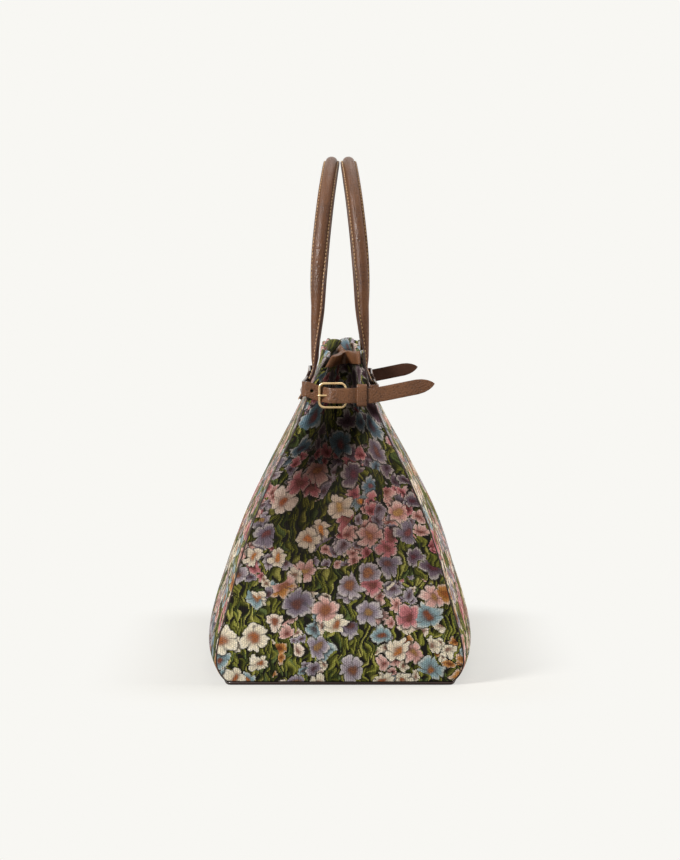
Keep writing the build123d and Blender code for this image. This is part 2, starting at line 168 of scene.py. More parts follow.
# Points along and across the meshes
PANEL_COLUMNS = 145
PANEL_ROWS = 96
CORNER_ROWS = 13
BASE_COLUMNS = 121
BASE_ROWS = 61
STITCH_RINGS = 5
STITCH_SIDES = 6
PUNCH_SIDES = 20
RIBBON_PITCH = 0.0011
RIBBON_COLUMNS = 7
BINDING_ROWS = 7
FOLD_STEPS = 8
HANDLE_STEPS = 12
DOME_POINTS = 15
BASE_EDGE_RINGS = 9
PIPING_SIDES = 12
TONGUE_SIDES = 10
CURL_POINTS = 22
TONGUE_POINTS = 12
LOOP_SIDES = 16
FRAME_STEPS = 10
KEEPER_STEPS = 8

# Outline of the bag from the base corner to the rim, as shares
HEIGHT_SHARES = np.array([0.22, 0.44, 0.62, 0.75, 0.83, 0.89, 0.945, 1.0])
SEAM_SHARES = np.array([0.917, 0.745, 0.55, 0.378, 0.288, 0.232, 0.183, 0.145])
BELLY_SHARES = np.array([1.0, 0.78, 0.47, 0.34, 0.18, -0.08, -0.22, -0.55])
PULL_SHARES = np.array([0.0, 0.0, 0.0, 0.0, 0.0, 0.0, 0.17, 1.0])
FOLD_SHARES = np.array([0.0, 0.15, 0.55, 0.86, 0.97, 1.0, 0.93, 0.80])
BULGE_SHARES = np.array([1.0, 0.5, 0.1, 0.0, 0.0, 0.0, 0.0, 0.0])
ACROSS_SHARES = np.array([-1.0, -0.82, -0.62, -0.43, -0.20, 0.10, 0.40, 0.62, 0.80, 0.91, 1.0])
DEPTH_SHARES = np.array([0.0, 0.015, 0.17, 0.52, 0.91, 1.0, 0.92, 0.54, 0.16, 0.015, 0.0])

# Handle, as shares of its tab, then of its rise, spread and lean above the rim
TAB_SHARES = np.array([1.0, 0.72, 0.44, 0.16])
TAB_PAD_SHARES = np.array([0.1, 0.1, 0.15, 0.7])
TAB_LIFT_SHARES = np.array([1.0, 1.0, 1.0, 1.75])
RISE_SHARES = np.array([0.16, 0.36, 0.56, 0.78, 0.93, 1.0])
SPREAD_SHARES = np.array([1.0, 0.99, 0.92, 0.70, 0.39, 0.0])
LEAN_SHARES = np.array([1.14, 1.12, 0.94, 0.55, 0.19, 0.0])
TURN_SHARES = np.array([0.6, 0.35, 0.12, 0.0, 0.0, 0.0])
ARCH_SHARE = 0.55
CORNER_SHARES = np.array([0.0, 0.33, 0.67, 1.0])
BAR_SHARES = np.array([-1.0, -0.5, 0.0, 0.5, 1.0])
POINT_SHARES = np.array([0.0, 0.35, 0.65, 0.87, 1.0])
TAPER_SHARES = np.array([1.0, 0.90, 0.66, 0.36, 0.06])
RING_SHARES = np.array([0.02, 0.6])

FRONT, BACK = -1, 1
RIGHT, LEFT = 1, -1


def cubic(first, rise, start, end, t):
    """Cubic over a span: from its first value up a rise, with a slope at each end."""
    return first + t * (start + t * (3 * rise - 2 * start - end + t * (start + end - 2 * rise)))


def level(shares, height):
    """Value of a table of shares at a height: between two marks, the cubic whose slopes
    at the marks are the rise over run across their neighbours."""
    marks = HEIGHT_SHARES * BODY_HEIGHT
    z = np.maximum(height, marks[0])
    i = np.clip(np.searchsorted(marks, z) - 1, 0, len(marks) - 2)
    before, after = np.maximum(i - 1, 0), np.minimum(i + 2, len(marks) - 1)
    span = marks[i + 1] - marks[i]
    start = (shares[i + 1] - shares[before]) / (marks[i + 1] - marks[before]) * span
    end = (shares[after] - shares[i]) / (marks[after] - marks[i]) * span
    t = (z - marks[i]) / span
    return cubic(shares[i], shares[i + 1] - shares[i], start, end, t)


def half_length(height):
    """Half the length between the end seams, widening evenly with height."""
    return (BASE_LENGTH + (TOP_LENGTH - BASE_LENGTH) * height / BODY_HEIGHT) / 2


def seam_depth(height):
    """Distance of the end seam from the middle plane: a cubic up to the first mark, the
    table above it, less the quarter circle where the side turns under."""
    first = HEIGHT_SHARES[0] * BODY_HEIGHT
    rest = first - BASE_CORNER
    t = np.clip(height - BASE_CORNER, 0, rest) / rest
    slope = (SEAM_SHARES[1] - SEAM_SHARES[0]) * rest
    slope = slope / (BODY_HEIGHT * (HEIGHT_SHARES[1] - HEIGHT_SHARES[0]))
    low = cubic(1, SEAM_SHARES[0] - 1, 0, slope, t)
    drop = np.clip(BASE_CORNER - height, 0, BASE_CORNER)
    turned = BASE_CORNER - np.sqrt(BASE_CORNER**2 - drop**2)
    return BASE_DEPTH / 2 * np.where(height < first, low, level(SEAM_SHARES, height)) - turned


def panel_depth(along, height):
    """Seam depth plus a parabola along the length, as deep as the belly at that height."""
    return seam_depth(height) + BELLY * (1 - along**2) * level(BELLY_SHARES, height)


def held_depth(height):
    """Depth of the panel under a handle, which holds the rim open."""
    return panel_depth(HANDLE_SPREAD / TOP_LENGTH, height) + RIM_PULL * level(PULL_SHARES, height)


def lean(height):
    """Angle of a panel from upright under a handle, over the width of a strap."""
    low = height - STRAP_WIDTH / 2
    high = np.minimum(height + STRAP_WIDTH / 2, BODY_HEIGHT)
    return np.arctan((held_depth(low) - held_depth(high)) / (high - low))


def flow(points, steps):
    """Points on the uniform cubic through a row of points, a number of steps to a span."""
    row = np.concatenate([points[:1], points, points[-1:]])
    a, b, c, d = row[:-3], row[1:-2], row[2:-1], row[3:]
    t = np.arange(steps).reshape((steps,) + (1,) * points.ndim) / steps
    curve = b + t / 2 * (c - a + t * (2 * a - 5 * b + 4 * c - d + t * (3 * (b - c) + d - a)))
    curve = np.swapaxes(curve, 0, 1).reshape((-1,) + points.shape[1:])
    return np.concatenate([curve, points[-1:]])


def lengths(points):
    """Distance run along a row of points, from its first one."""
    steps = np.linalg.norm(np.diff(points, axis=0), axis=-1)
    return np.concatenate([np.zeros((1,) + steps.shape[1:]), np.cumsum(steps, axis=0)])


def even(points, pitch, *others):
    """The cubic through a row of points by the distance run, read every pitch, and other
    rows of values read at the same places."""
    run = lengths(points)
    last = len(run) - 1
    place = np.linspace(0, run[-1], max(int(run[-1] / pitch), 2) + 1)
    i = np.clip(np.searchsorted(run, place, side="right") - 1, 0, last - 1)
    before, after = np.maximum(i - 1, 0), np.minimum(i + 2, last)
    span = (run[i + 1] - run[i])[:, None]
    start = (points[i + 1] - points[before]) / (run[i + 1] - run[before])[:, None] * span
    end = (points[after] - points[i]) / (run[after] - run[i])[:, None] * span
    t = (place - run[i])[:, None] / span
    curve = cubic(points[i], points[i + 1] - points[i], start, end, t)
    read = [
        np.stack([np.interp(place, run, column) for column in other.T], axis=-1)
        if other.ndim > 1 else np.interp(place, run, other)
        for other in others
    ]
    return [curve] + read


def unit(ways):
    """Ways at length one."""
    return ways / np.linalg.norm(ways, axis=-1, keepdims=True)


def frames(points, normals):
    """Run, width and outward directions along a path: outward is the normal made square
    to the run, and width is their cross product."""
    run = unit(np.gradient(points, axis=0))
    out = unit(normals - run * np.sum(normals * run, axis=-1, keepdims=True))
    return run, np.cross(run, out), out


def bell(distance, reach):
    """Bell curve of a distance: e to the minus square of its share of the reach."""
    return np.exp(-((distance / reach) ** 2))


def settled(grid):
    """Near the two ends the top leans towards the back and its front side sinks: a shift
    that grows with the square of the height above the straps."""
    x, y, z = grid[..., 0], grid[..., 1], grid[..., 2]
    near = np.clip((np.abs(x) - SAG_START) / SAG_SPAN, 0, 1)
    up = np.clip((z - BODY_HEIGHT + SAG_HEIGHT) / SAG_HEIGHT, 0, 1)
    weight = near * near * (3 - 2 * near) * up**2
    sink = SAG_SINK * weight * np.clip(0.5 - y / SAG_FRONT, 0, 1)
    return np.stack([x, y + SAG_BACK * weight, z - sink], axis=-1)


def mirrored(grid, end):
    """A grid of the right-hand end, or its mirror image at the left-hand end."""
    return grid * np.array([end, 1, 1])


def corners(cells):
    """The four neighbours round each quad of a grid, in turn."""
    return np.stack([cells[:-1, :-1], cells[:-1, 1:], cells[1:, 1:], cells[1:, :-1]], axis=2)


def new_mesh(name, points, faces, *materials):
    """Smooth mesh of points and faces."""
    mesh = bpy.data.meshes.new(name)
    mesh.from_pydata(points.tolist(), [], faces)
    for material in materials:
        mesh.materials.append(material)
    mesh.polygons.foreach_set("use_smooth", np.ones(len(mesh.polygons), bool))
    mesh.update()
    return mesh


def mesh_of(name, grid, materials, uv=None, wrap=False, loop=False, ends=False, facing=None, bands=None):
    """Mesh of quads between the neighbours of a grid of points. wrap joins the last
    column to the first and loop the last row to the first; ends closes the first and
    last rows. facing is the way out of each row of a sheet; a closed shape's faces turn so
    that its volume is positive. bands gives the material of each column of quads."""
    rows, columns = grid.shape[:2]
    index = np.arange(rows * columns).reshape(rows, columns)
    if uv is None:
        uv = np.zeros((rows + loop, columns + wrap, 2))
    if wrap:
        index = np.concatenate([index, index[:, :1]], axis=1)
    if loop:
        index = np.concatenate([index, index[:1]])
    quads = corners(index)
    across = np.broadcast_to(0 if bands is None else bands, quads.shape[:2]).reshape(-1)
    quads = quads.reshape(-1, 4)
    laid = corners(uv).reshape(-1, 4, 2)
    points = grid.reshape(-1, 3)
    a, b, c, d = (points[quads[:, k]] for k in range(4))
    normal = np.cross(c - a, d - b)
    if facing is None:
        way = (a + b + c + d) / 4 - points.mean(axis=0)
    else:
        way = np.repeat(np.broadcast_to(facing, (rows, 3))[1:], columns - 1, axis=0)
    turned = np.sum(normal * way) < 0
    if turned:
        quads, laid = quads[:, ::-1], laid[:, ::-1]
    faces = quads.tolist()
    if ends:
        first, last = index[0, :columns], index[-1, :columns]
        faces += [(first if turned else first[::-1]).tolist(), (last[::-1] if turned else last).tolist()]
    mesh = new_mesh(name, points, faces, *materials)
    loops = np.zeros((len(mesh.loops), 2))
    loops[: laid.size // 2] = laid.reshape(-1, 2)
    mesh.uv_layers.new(name="cloth").data.foreach_set("uv", loops.ravel())
    parts = np.zeros(len(mesh.polygons), np.int32)
    parts[: len(across)] = across
    mesh.polygons.foreach_set("material_index", parts)
    mesh.update()
    return mesh


def put(name, data):
    """New object in the scene."""
    made = bpy.data.objects.new(name, data)
    bpy.context.scene.collection.objects.link(made)
    return made


def piece(name, mesh, slot, *nodes):
    """Puts a mesh in the scene as a piece of the bag, named for its stuff where it stands
    for a CAD node."""
    made = put(f"{name}_{mesh.materials[0].name}" if nodes else name, mesh)
    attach(made, "root")
    if nodes:
        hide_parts(*nodes)
    return made


def thicken(made, thickness, edge, inner=0, rim=0):
    """Gives a sheet its thickness to both sides and rounds its cut edges."""
    solid = made.modifiers.new("thickness", "SOLIDIFY")
    solid.thickness = thickness
    solid.offset = 0
    solid.material_offset = inner
    solid.material_offset_rim = rim
    rounded = made.modifiers.new("edge", "BEVEL")
    rounded.width = edge
    rounded.segments = 2
    rounded.limit_method = "ANGLE"
    rounded.angle_limit = EDGE_ANGLE
    return made


# Materials


def paint(code):
    """Colour written as six hexadecimal digits, as a linear colour."""
    parts = [int(code[k:k + 2], 16) / 255 for k in (0, 2, 4)]
    return tuple(p / 12.92 if p <= 0.04045 else ((p + 0.055) / 1.055) ** 2.4 for p in parts) + (1.0,)


def fill(tree, made, inputs):
    """Gives each named socket of a node a value or another node's output."""
    for key, value in dict(inputs).items():
        if isinstance(value, bpy.types.NodeSocket):
            tree.links.new(value, made.inputs[key])
        else:
            made.inputs[key].default_value = value
    return made


def node(tree, kind, inputs=(), **settings):
    """Adds a node with its settings and inputs."""
    made = tree.nodes.new("ShaderNode" + kind)
    for key, value in settings.items():
        setattr(made, key, value)
    return fill(tree, made, inputs)


def sums(tree, operation, *values, clamp=False):
    """Result of one Math node."""
    return node(tree, "Math", enumerate(values), operation=operation, use_clamp=clamp).outputs[0]


def vectors(tree, operation, *values):
    """Result of one Vector Math node."""
    made = node(tree, "VectorMath", enumerate(values), operation=operation)
    return made.outputs["Value" if operation in ("LENGTH", "DOT_PRODUCT") else "Vector"]


def between(tree, value, low, high):
    """Smooth step from 0 at low to 1 at high; low may be the larger."""
    inputs = {"Value": value, "From Min": low, "From Max": high}
    return node(tree, "MapRange", inputs, interpolation_type="SMOOTHSTEP").outputs["Result"]


def mixed(tree, factor, one, two, blend="MIX"):
    """Mix of two colours."""
    made = node(tree, "Mix", {0: factor, 6: one, 7: two}, data_type="RGBA", blend_type=blend)
    return made.outputs[2]


def grey(tree, value):
    """Grey colour of a value."""
    return node(tree, "CombineColor", {0: value, 1: value, 2: value}).outputs[0]


def noise(tree, place, scale, detail, space="3D"):
    """Noise at a place: its value and its colour."""
    inputs = {"Vector": place, "Scale": scale, "Detail": detail}
    return node(tree, "TexNoise", inputs, noise_dimensions=space).outputs


def piece_place(tree):
    """Place in the bag's own frame."""
    return node(tree, "TexCoord").outputs["Object"]


def cloth_place(tree):
    """Place on a sheet of cloth, in metres along and up it."""
    return node(tree, "UVMap", uv_map="cloth").outputs[0]


def palette(tree, value, colours, steps="CONSTANT"):
    """Colour ramp with evenly spaced colours."""
    made = node(tree, "ValToRGB", {"Fac": value})
    made.color_ramp.interpolation = steps
    while len(made.color_ramp.elements) < len(colours):
        made.color_ramp.elements.new(0.5)
    for k, colour in enumerate(colours):
        made.color_ramp.elements[k].position = k / len(colours)
        made.color_ramp.elements[k].color = paint(colour)
    return made.outputs["Color"]


def group(name, inputs, outputs):
    """New node group with named sockets, the sockets of its entry and its exit node."""
    tree = bpy.data.node_groups.new(name, "ShaderNodeTree")
    for way, sockets in (("INPUT", inputs), ("OUTPUT", outputs)):
        for label, kind in sockets.items():
            tree.interface.new_socket(label, in_out=way, socket_type="NodeSocket" + kind)
    return tree, tree.nodes.new("NodeGroupInput").outputs, tree.nodes.new("NodeGroupOutput")


def placed(tree, made, inputs):
    """Places a node group and gives its outputs."""
    return node(tree, "Group", inputs, node_tree=made).outputs


def scattered(tree, place, spacing, shift):
    """Places scattered one to a cell: the offset from the nearest one in cells, and three
    random numbers of that cell."""
    cells = vectors(tree, "MULTIPLY_ADD", place, spacing, shift)
    found = node(tree, "TexVoronoi", {"Vector": cells, "Scale": 1.0, "Randomness": 0.8},
                 voronoi_dimensions="2D")
    offset = vectors(tree, "SUBTRACT", cells, found.outputs["Position"])
    parts = node(tree, "SeparateColor", {"Color": found.outputs["Color"]}).outputs
    return offset, parts


def blossom_group():
    """Flower in each cell: the petal's edge lies at a radius that swells with the cosine
    of the turn, so the radius over the edge is 1 at the outline."""
    tree, entry, leave = group(
        "blossom",
        {"Place": "Vector", "Spacing": "Vector", "Shift": "Vector", "Reach": "Float", "Kept": "Float",
         "Half petals": "Float"},
        {"Mask": "Float", "Shadow": "Float", "Tone": "Float", "Crease": "Float", "Eye": "Float",
         "Chance": "Float", "Streak": "Float", "Centre": "Vector"},
    )
    offset, chance = scattered(tree, entry["Place"], entry["Spacing"], entry["Shift"])
    x, y, _ = node(tree, "SeparateXYZ", {0: offset}).outputs
    turn = sums(tree, "MULTIPLY_ADD", chance[0], 6.283, sums(tree, "ARCTAN2", y, x))
    radius = vectors(tree, "LENGTH", offset)
    lobe = sums(tree, "ABSOLUTE", sums(tree, "COSINE", sums(tree, "MULTIPLY", turn, entry["Half petals"])))
    swell = sums(tree, "MULTIPLY_ADD", sums(tree, "POWER", lobe, 0.5), 0.48, 0.56)
    notch = sums(tree, "MULTIPLY", sums(tree, "POWER", lobe, 14.0), 0.12)
    size = sums(tree, "MULTIPLY", entry["Reach"], sums(tree, "MULTIPLY_ADD", chance[1], 0.35, 0.76))
    edge = sums(tree, "MULTIPLY", size, sums(tree, "SUBTRACT", swell, notch))
    tone = sums(tree, "DIVIDE", radius, edge)
    kept = sums(tree, "LESS_THAN", chance[2], entry["Kept"])
    away = vectors(tree, "DIVIDE", offset, entry["Spacing"])
    fill(tree, leave, {
        "Mask": sums(tree, "MULTIPLY", between(tree, tone, 1.03, 0.97), kept),
        "Shadow": sums(tree, "MULTIPLY", between(tree, tone, 1.32, 1.02), kept),
        "Tone": tone,
        "Crease": between(tree, lobe, 0.0, 0.42),
        "Eye": between(tree, sums(tree, "DIVIDE", radius, size), 0.44, 0.14),
        "Chance": chance[0],
        "Streak": sums(tree, "SINE", sums(tree, "MULTIPLY", turn, 27.0)),
        "Centre": vectors(tree, "SUBTRACT", entry["Place"], away),
    })
    return tree


def leaf_group():
    """Leaf in each cell, turned at random round upright: its half width is a parabola
    along its length."""
    tree, entry, leave = group(
        "leaf",
        {"Place": "Vector", "Spacing": "Vector", "Shift": "Vector", "Spread": "Float", "Half width": "Float"},
        {"Mask": "Float", "Tone": "Float", "Chance": "Float"},
    )
    offset, chance = scattered(tree, entry["Place"], entry["Spacing"], entry["Shift"])
    angle = sums(tree, "MULTIPLY", sums(tree, "SUBTRACT", chance[0], 0.5), entry["Spread"])
    turned = node(tree, "VectorRotate", {"Vector": offset, "Angle": angle}, rotation_type="Z_AXIS")
    x, y, _ = node(tree, "SeparateXYZ", {0: turned.outputs[0]}).outputs
    bend = sums(tree, "MULTIPLY_ADD", sums(tree, "MULTIPLY", y, y), 0.35, x)
    length = sums(tree, "MULTIPLY_ADD", chance[1], 0.25, 0.48)
    share = sums(tree, "DIVIDE", y, length)
    taper = sums(tree, "SUBTRACT", 1.0, sums(tree, "MULTIPLY", share, share))
    half = sums(tree, "MAXIMUM", sums(tree, "MULTIPLY", taper, entry["Half width"]), 0.001)
    across = sums(tree, "DIVIDE", bend, half)
    mask = between(tree, sums(tree, "ABSOLUTE", across), 1.08, 0.9)
    fill(tree, leave, {"Mask": mask, "Tone": across, "Chance": chance[2]})
    return tree


# Colours of the print, from the ground up; two tints also carry the painted fold shade
GROUND = "17130f"
GREENS = ("55571f", "777831", "959440", "b0aa58", "64713f", "40481f", "858437")
LEAF_SHADE = "6b6b5e"
# Tint multiplied over leaves where the fold shade is painted, with the print's darker tone
LEAF_PRINT_AND_FOLD_SHADE = "8c857a"
OUTLINE = "171310"
PETALS = ("f1e4c8", "c68a4c", "f2dcc8", "93acb0", "efdfc4", "a0949f", "e3b0a4", "b3a7ae", "cf8385", "8b7f8c",
          "7592a0", "c97a7e", "75636e", "9a4a53", "5a707b", "665059")
PETAL_HEART = "94706a"
PETAL_TIP = "f3eadb"
# Tint multiplied over petals where the fold shade is painted, with the print's darker tone
PETAL_PRINT_AND_FOLD_SHADE = "b3a6a2"
EYES = ("a85f30", "8f4a28", "b9702f", "a07a45", "8d5a38", "6a4238", "74403c", "5a2d33", "432830", "37242a")

# Leaves, layer by layer: cells to a metre, shift, spread of angles, half width
LEAF_LAYERS = (
    (215.0, 9.1, 1.1, 0.36),
    (175.0, 3.7, 1.9, 0.27),
    (150.0, 6.3, 1.2, 0.17),
)
# Flowers, layer by layer: cells to a metre, shift, reach, half the petals, large or not
FLOWER_LAYERS = (
    (112.0, 1.3, 0.58, 2.0, False),
    (88.0, 5.2, 0.60, 2.5, False),
    (58.0, 7.9, 0.56, 2.5, True),
    (44.0, 2.6, 0.54, 2.5, True),
)
SMALL_VARIETY = 0.25
LARGE_VARIETY = 0.62

# Threads of the weave, and where each sheet lies on the cloth
THREAD = 0.00075
RIB_PITCH = 0.0015
WEFT_PITCH = 0.0018
TWILL_PITCH = 0.0012
THREAD_SHAKE = (0.0017, 0.0017, 0.0)
LEAF_PUSH = (0.0090, 0.0050, 0.0)
FLOWER_PUSH = (0.0065, 0.0065, 0.0)
GUSSET_PLACE = 0.47
GUSSET_RISE = 0.012
PANEL_PLACES = {FRONT: -0.2, BACK: 1.6}
# Drift scales the colour drift up the cloth and the painted fold shade: full on the gussets, faint on the
# panels and the facing
PRINT_FULL_SHADE = {"Drift": 1.0, "Start": -0.47}
PRINT_FAINT_SHADE = {"Drift": 0.15, "Start": -0.22}
DRIFT_RISE = 3.3

# Where a gusset's cloth darkens, partly a darker print and partly painted shade of its folded-in recess:
# aside from its middle, up from its foot, below its rim
DARK_ASIDE = (0.030, 0.075)
DARK_FOOT = (0.04, 0.14)
DARK_RIM = (0.205, 0.245)


def jacquard_group():
    """Dense woven flowers: near-black ground, three layers of leaves, then clustered
    florets, middling and large blossoms, each layer lying over the one before in a dark
    outline. Colours drift from cream by the base to blue and rose by the rim. Towards the
    middle and top of a gusset they darken: partly a darker print, partly painted shade of
    its folded-in recess. The place is snapped to the threads, so every outline is stepped
    as a loom makes it."""
    tree, entry, leave = group(
        "jacquard",
        {"Place": "Vector", "Drift": "Float", "Start": "Float"},
        {"Colour": "Color", "Height": "Float"},
    )
    blossom, leaf = blossom_group(), leaf_group()
    snapped = vectors(tree, "SNAP", entry["Place"], (THREAD, THREAD, 1.0))
    half = (0.5, 0.5, 0.5)
    shaken = vectors(tree, "SUBTRACT", noise(tree, snapped, 300.0, 1.0, "2D")["Color"], half)
    pushed = vectors(tree, "SUBTRACT", noise(tree, snapped, 95.0, 0.0, "2D")["Color"], half)
    leafy = vectors(tree, "MULTIPLY_ADD", pushed, LEAF_PUSH, snapped)
    place = vectors(tree, "MULTIPLY_ADD", shaken, THREAD_SHAKE, snapped)
    place = vectors(tree, "MULTIPLY_ADD", pushed, FLOWER_PUSH, place)
    u, v, _ = node(tree, "SeparateXYZ", {0: entry["Place"]}).outputs
    cluster = between(tree, noise(tree, snapped, 24.0, 0.0, "2D")[0], 0.47, 0.55)
    # Painted shade of the gusset's fold, mixed with the darker print there: strongest over the middle, rising
    # from the foot, easing under the rim, scaled by Drift
    aside = sums(tree, "ABSOLUTE", sums(tree, "SUBTRACT", sums(tree, "ABSOLUTE", u), GUSSET_PLACE))
    middle = sums(tree, "MULTIPLY_ADD", between(tree, aside, *DARK_ASIDE), -0.6, 1.0)
    neck = sums(tree, "MULTIPLY_ADD", between(tree, v, *DARK_RIM), -0.7, between(tree, v, *DARK_FOOT))
    print_and_fold_shade = sums(tree, "MULTIPLY", neck, sums(tree, "MULTIPLY", middle, entry["Drift"]))
    slope = sums(tree, "MULTIPLY", entry["Drift"], DRIFT_RISE)
    colour = paint(GROUND)
    height = 0.0
    for spacing, shift, spread, half_width in LEAF_LAYERS:
        out = placed(tree, leaf, {
            "Place": leafy, "Spacing": (spacing, spacing * 0.5, 0.0), "Shift": (shift, shift * 2.3, 0.0),
            "Spread": spread, "Half width": half_width})
        green = palette(tree, out["Chance"], GREENS)
        lit = between(tree, out["Tone"], -0.8, 0.6)
        green = mixed(tree, lit, mixed(tree, 1.0, green, paint(LEAF_SHADE), "MULTIPLY"), green)
        # Leaves darkened by the painted fold shade
        green = mixed(tree, print_and_fold_shade, green, paint(LEAF_PRINT_AND_FOLD_SHADE), "MULTIPLY")
        colour = mixed(tree, out["Mask"], colour, green)
        height = sums(tree, "MAXIMUM", height, sums(tree, "MULTIPLY", out["Mask"], 0.35))
    # More florets where the fold shade is painted
    some = sums(tree, "MULTIPLY", cluster, sums(tree, "MULTIPLY_ADD", print_and_fold_shade, 0.22, 0.52))
    few = sums(tree, "MULTIPLY_ADD", cluster, -0.28, 0.46)
    for spacing, shift, reach, petals, large in FLOWER_LAYERS:
        out = placed(tree, blossom, {
            "Place": place, "Spacing": (spacing, spacing, 0.0), "Shift": (shift, shift * 1.7, 0.0),
            "Reach": reach, "Kept": few if large else some, "Half petals": petals})
        rise = node(tree, "SeparateXYZ", {0: out["Centre"]}).outputs[1]
        drift = sums(tree, "ADD", noise(tree, out["Centre"], 15.0, 1.0, "2D")[0],
                     sums(tree, "MULTIPLY_ADD", rise, slope, entry["Start"]))
        chance = sums(tree, "SUBTRACT", out["Chance"], 0.5)
        variety = LARGE_VARIETY if large else SMALL_VARIETY
        pick = sums(tree, "MULTIPLY_ADD", chance, variety, drift, clamp=True)
        main = palette(tree, pick, PETALS)
        deep = mixed(tree, 1.0, main, paint(PETAL_HEART), "MULTIPLY")
        pale = mixed(tree, 0.5, main, paint(PETAL_TIP))
        petal = mixed(tree, between(tree, out["Tone"], 0.12, 0.70), deep, main)
        petal = mixed(tree, between(tree, out["Tone"], 0.70, 0.97), petal, pale)
        streaked = sums(tree, "MULTIPLY_ADD", out["Streak"], 0.13, 0.90)
        shade = sums(tree, "MULTIPLY", streaked, sums(tree, "MULTIPLY_ADD", out["Crease"], 0.62, 0.38))
        petal = mixed(tree, 1.0, petal, grey(tree, shade), "MULTIPLY")
        # Petals darkened by the painted fold shade
        petal = mixed(tree, print_and_fold_shade, petal, paint(PETAL_PRINT_AND_FOLD_SHADE), "MULTIPLY")
        if large:
            eye = sums(tree, "MULTIPLY", out["Eye"], sums(tree, "MULTIPLY_ADD", out["Streak"], 0.3, 0.65))
            petal = mixed(tree, eye, petal, palette(tree, pick, EYES))
        colour = mixed(tree, sums(tree, "MULTIPLY", out["Shadow"], 0.85), colour, paint(OUTLINE))
        colour = mixed(tree, out["Mask"], colour, petal)
        height = sums(tree, "MAXIMUM", height, sums(tree, "MULTIPLY", out["Mask"], shade))
    rib = sums(tree, "ABSOLUTE", sums(tree, "SINE", sums(tree, "MULTIPLY", u, math.pi / RIB_PITCH)))
    offset = sums(tree, "MULTIPLY", sums(tree, "FLOOR", sums(tree, "DIVIDE", u, RIB_PITCH)), math.pi)
    weft = sums(tree, "SINE", sums(tree, "MULTIPLY_ADD", v, 2 * math.pi / WEFT_PITCH, offset))
    strand = sums(tree, "MULTIPLY", rib, sums(tree, "MULTIPLY_ADD", weft, 0.28, 0.72))
    fuzz = sums(tree, "MULTIPLY_ADD", noise(tree, snapped, 800.0, 0.0, "2D")[0], 0.6, 0.38)
    light = sums(tree, "MULTIPLY_ADD", strand, 0.50, fuzz)
    fill(tree, leave, {
        "Colour": mixed(tree, 1.0, colour, grey(tree, light), "MULTIPLY"),
        "Height": sums(tree, "MULTIPLY_ADD", height, 0.6, strand),
    })
    return tree


def pebble_group():
    """Pebbled grain: rounded cells a millimetre across, with finer creases between them
    and slow changes of colour."""
    tree, entry, leave = group(
        "pebbled grain",
        {"Place": "Vector", "Colour": "Color", "Dark": "Color", "Grain": "Float"},
        {"Colour": "Color", "Height": "Float", "Roughness": "Float"},
    )
    bent = noise(tree, entry["Place"], 700.0, 1.0)["Color"]
    place = vectors(tree, "MULTIPLY_ADD", bent, (0.0006, 0.0006, 0.0006), entry["Place"])
    cells = node(tree, "TexVoronoi", {"Vector": place, "Scale": entry["Grain"]}, feature="SMOOTH_F1")
    pebble = sums(tree, "SUBTRACT", 1.0, cells.outputs["Distance"])
    worn = between(tree, noise(tree, entry["Place"], 45.0, 3.0)[0], 0.35, 0.72)
    crease = between(tree, pebble, 0.25, 0.60)
    lit = sums(tree, "MULTIPLY_ADD", worn, 0.30, sums(tree, "MULTIPLY_ADD", crease, 0.45, 0.25))
    fill(tree, leave, {
        "Colour": mixed(tree, lit, entry["Dark"], entry["Colour"]),
        "Height": pebble,
        "Roughness": sums(tree, "MULTIPLY_ADD", crease, -0.20, 0.50),
    })
    return tree


def finish(name, **sockets):
    """New material with one Principled shader; gives the material, its tree and shader."""
    made = bpy.data.materials.new(name)
    made.use_nodes = True
    tree = made.node_tree
    shader = tree.nodes["Principled BSDF"]
    for key, value in sockets.items():
        shader.inputs[key.replace("_", " ")].default_value = value
    return made, tree, shader


def raised(tree, shader, height, strength, distance):
    """Bump from a height onto the shader's normal."""
    bump = node(tree, "Bump", {"Height": height, "Strength": strength, "Distance": distance})
    fill(tree, shader, {"Normal": bump.outputs[0]})


def jacquard_material(name, woven, tint):
    """Floral jacquard, laid by the cloth's own lengths."""
    made, tree, shader = finish(name, Roughness=0.85, Sheen_Weight=0.05, Sheen_Roughness=0.4,
                                Specular_IOR_Level=0.15)
    out = placed(tree, woven, {"Place": cloth_place(tree), **tint})
    fill(tree, shader, {"Base Color": out["Colour"]})
    raised(tree, shader, out["Height"], 0.7, 0.0004)
    return made


def lining_material(woven):
    """Plain twill lining with a diagonal rib, and a facing of the jacquard by the rim."""
    made, tree, shader = finish("twill_lining", Roughness=0.85, Sheen_Weight=0.1)
    cloth = cloth_place(tree)
    u, v, _ = node(tree, "SeparateXYZ", {0: cloth}).outputs
    rib = sums(tree, "SINE", sums(tree, "MULTIPLY", sums(tree, "ADD", u, v), 2 * math.pi / TWILL_PITCH))
    shade = sums(tree, "MULTIPLY_ADD", rib, 0.2, noise(tree, cloth, 500.0, 2.0, "2D")[0])
    plain = mixed(tree, shade, paint("3f352b"), paint("6b5c4b"))
    up = node(tree, "SeparateXYZ", {0: piece_place(tree)}).outputs[2]
    faced = sums(tree, "GREATER_THAN", up, BODY_HEIGHT - FACING_HEIGHT)
    out = placed(tree, woven, {"Place": cloth, **PRINT_FAINT_SHADE})
    fill(tree, shader, {"Base Color": mixed(tree, faced, plain, out["Colour"])})
    raised(tree, shader, rib, 0.4, 0.0002)
    return made


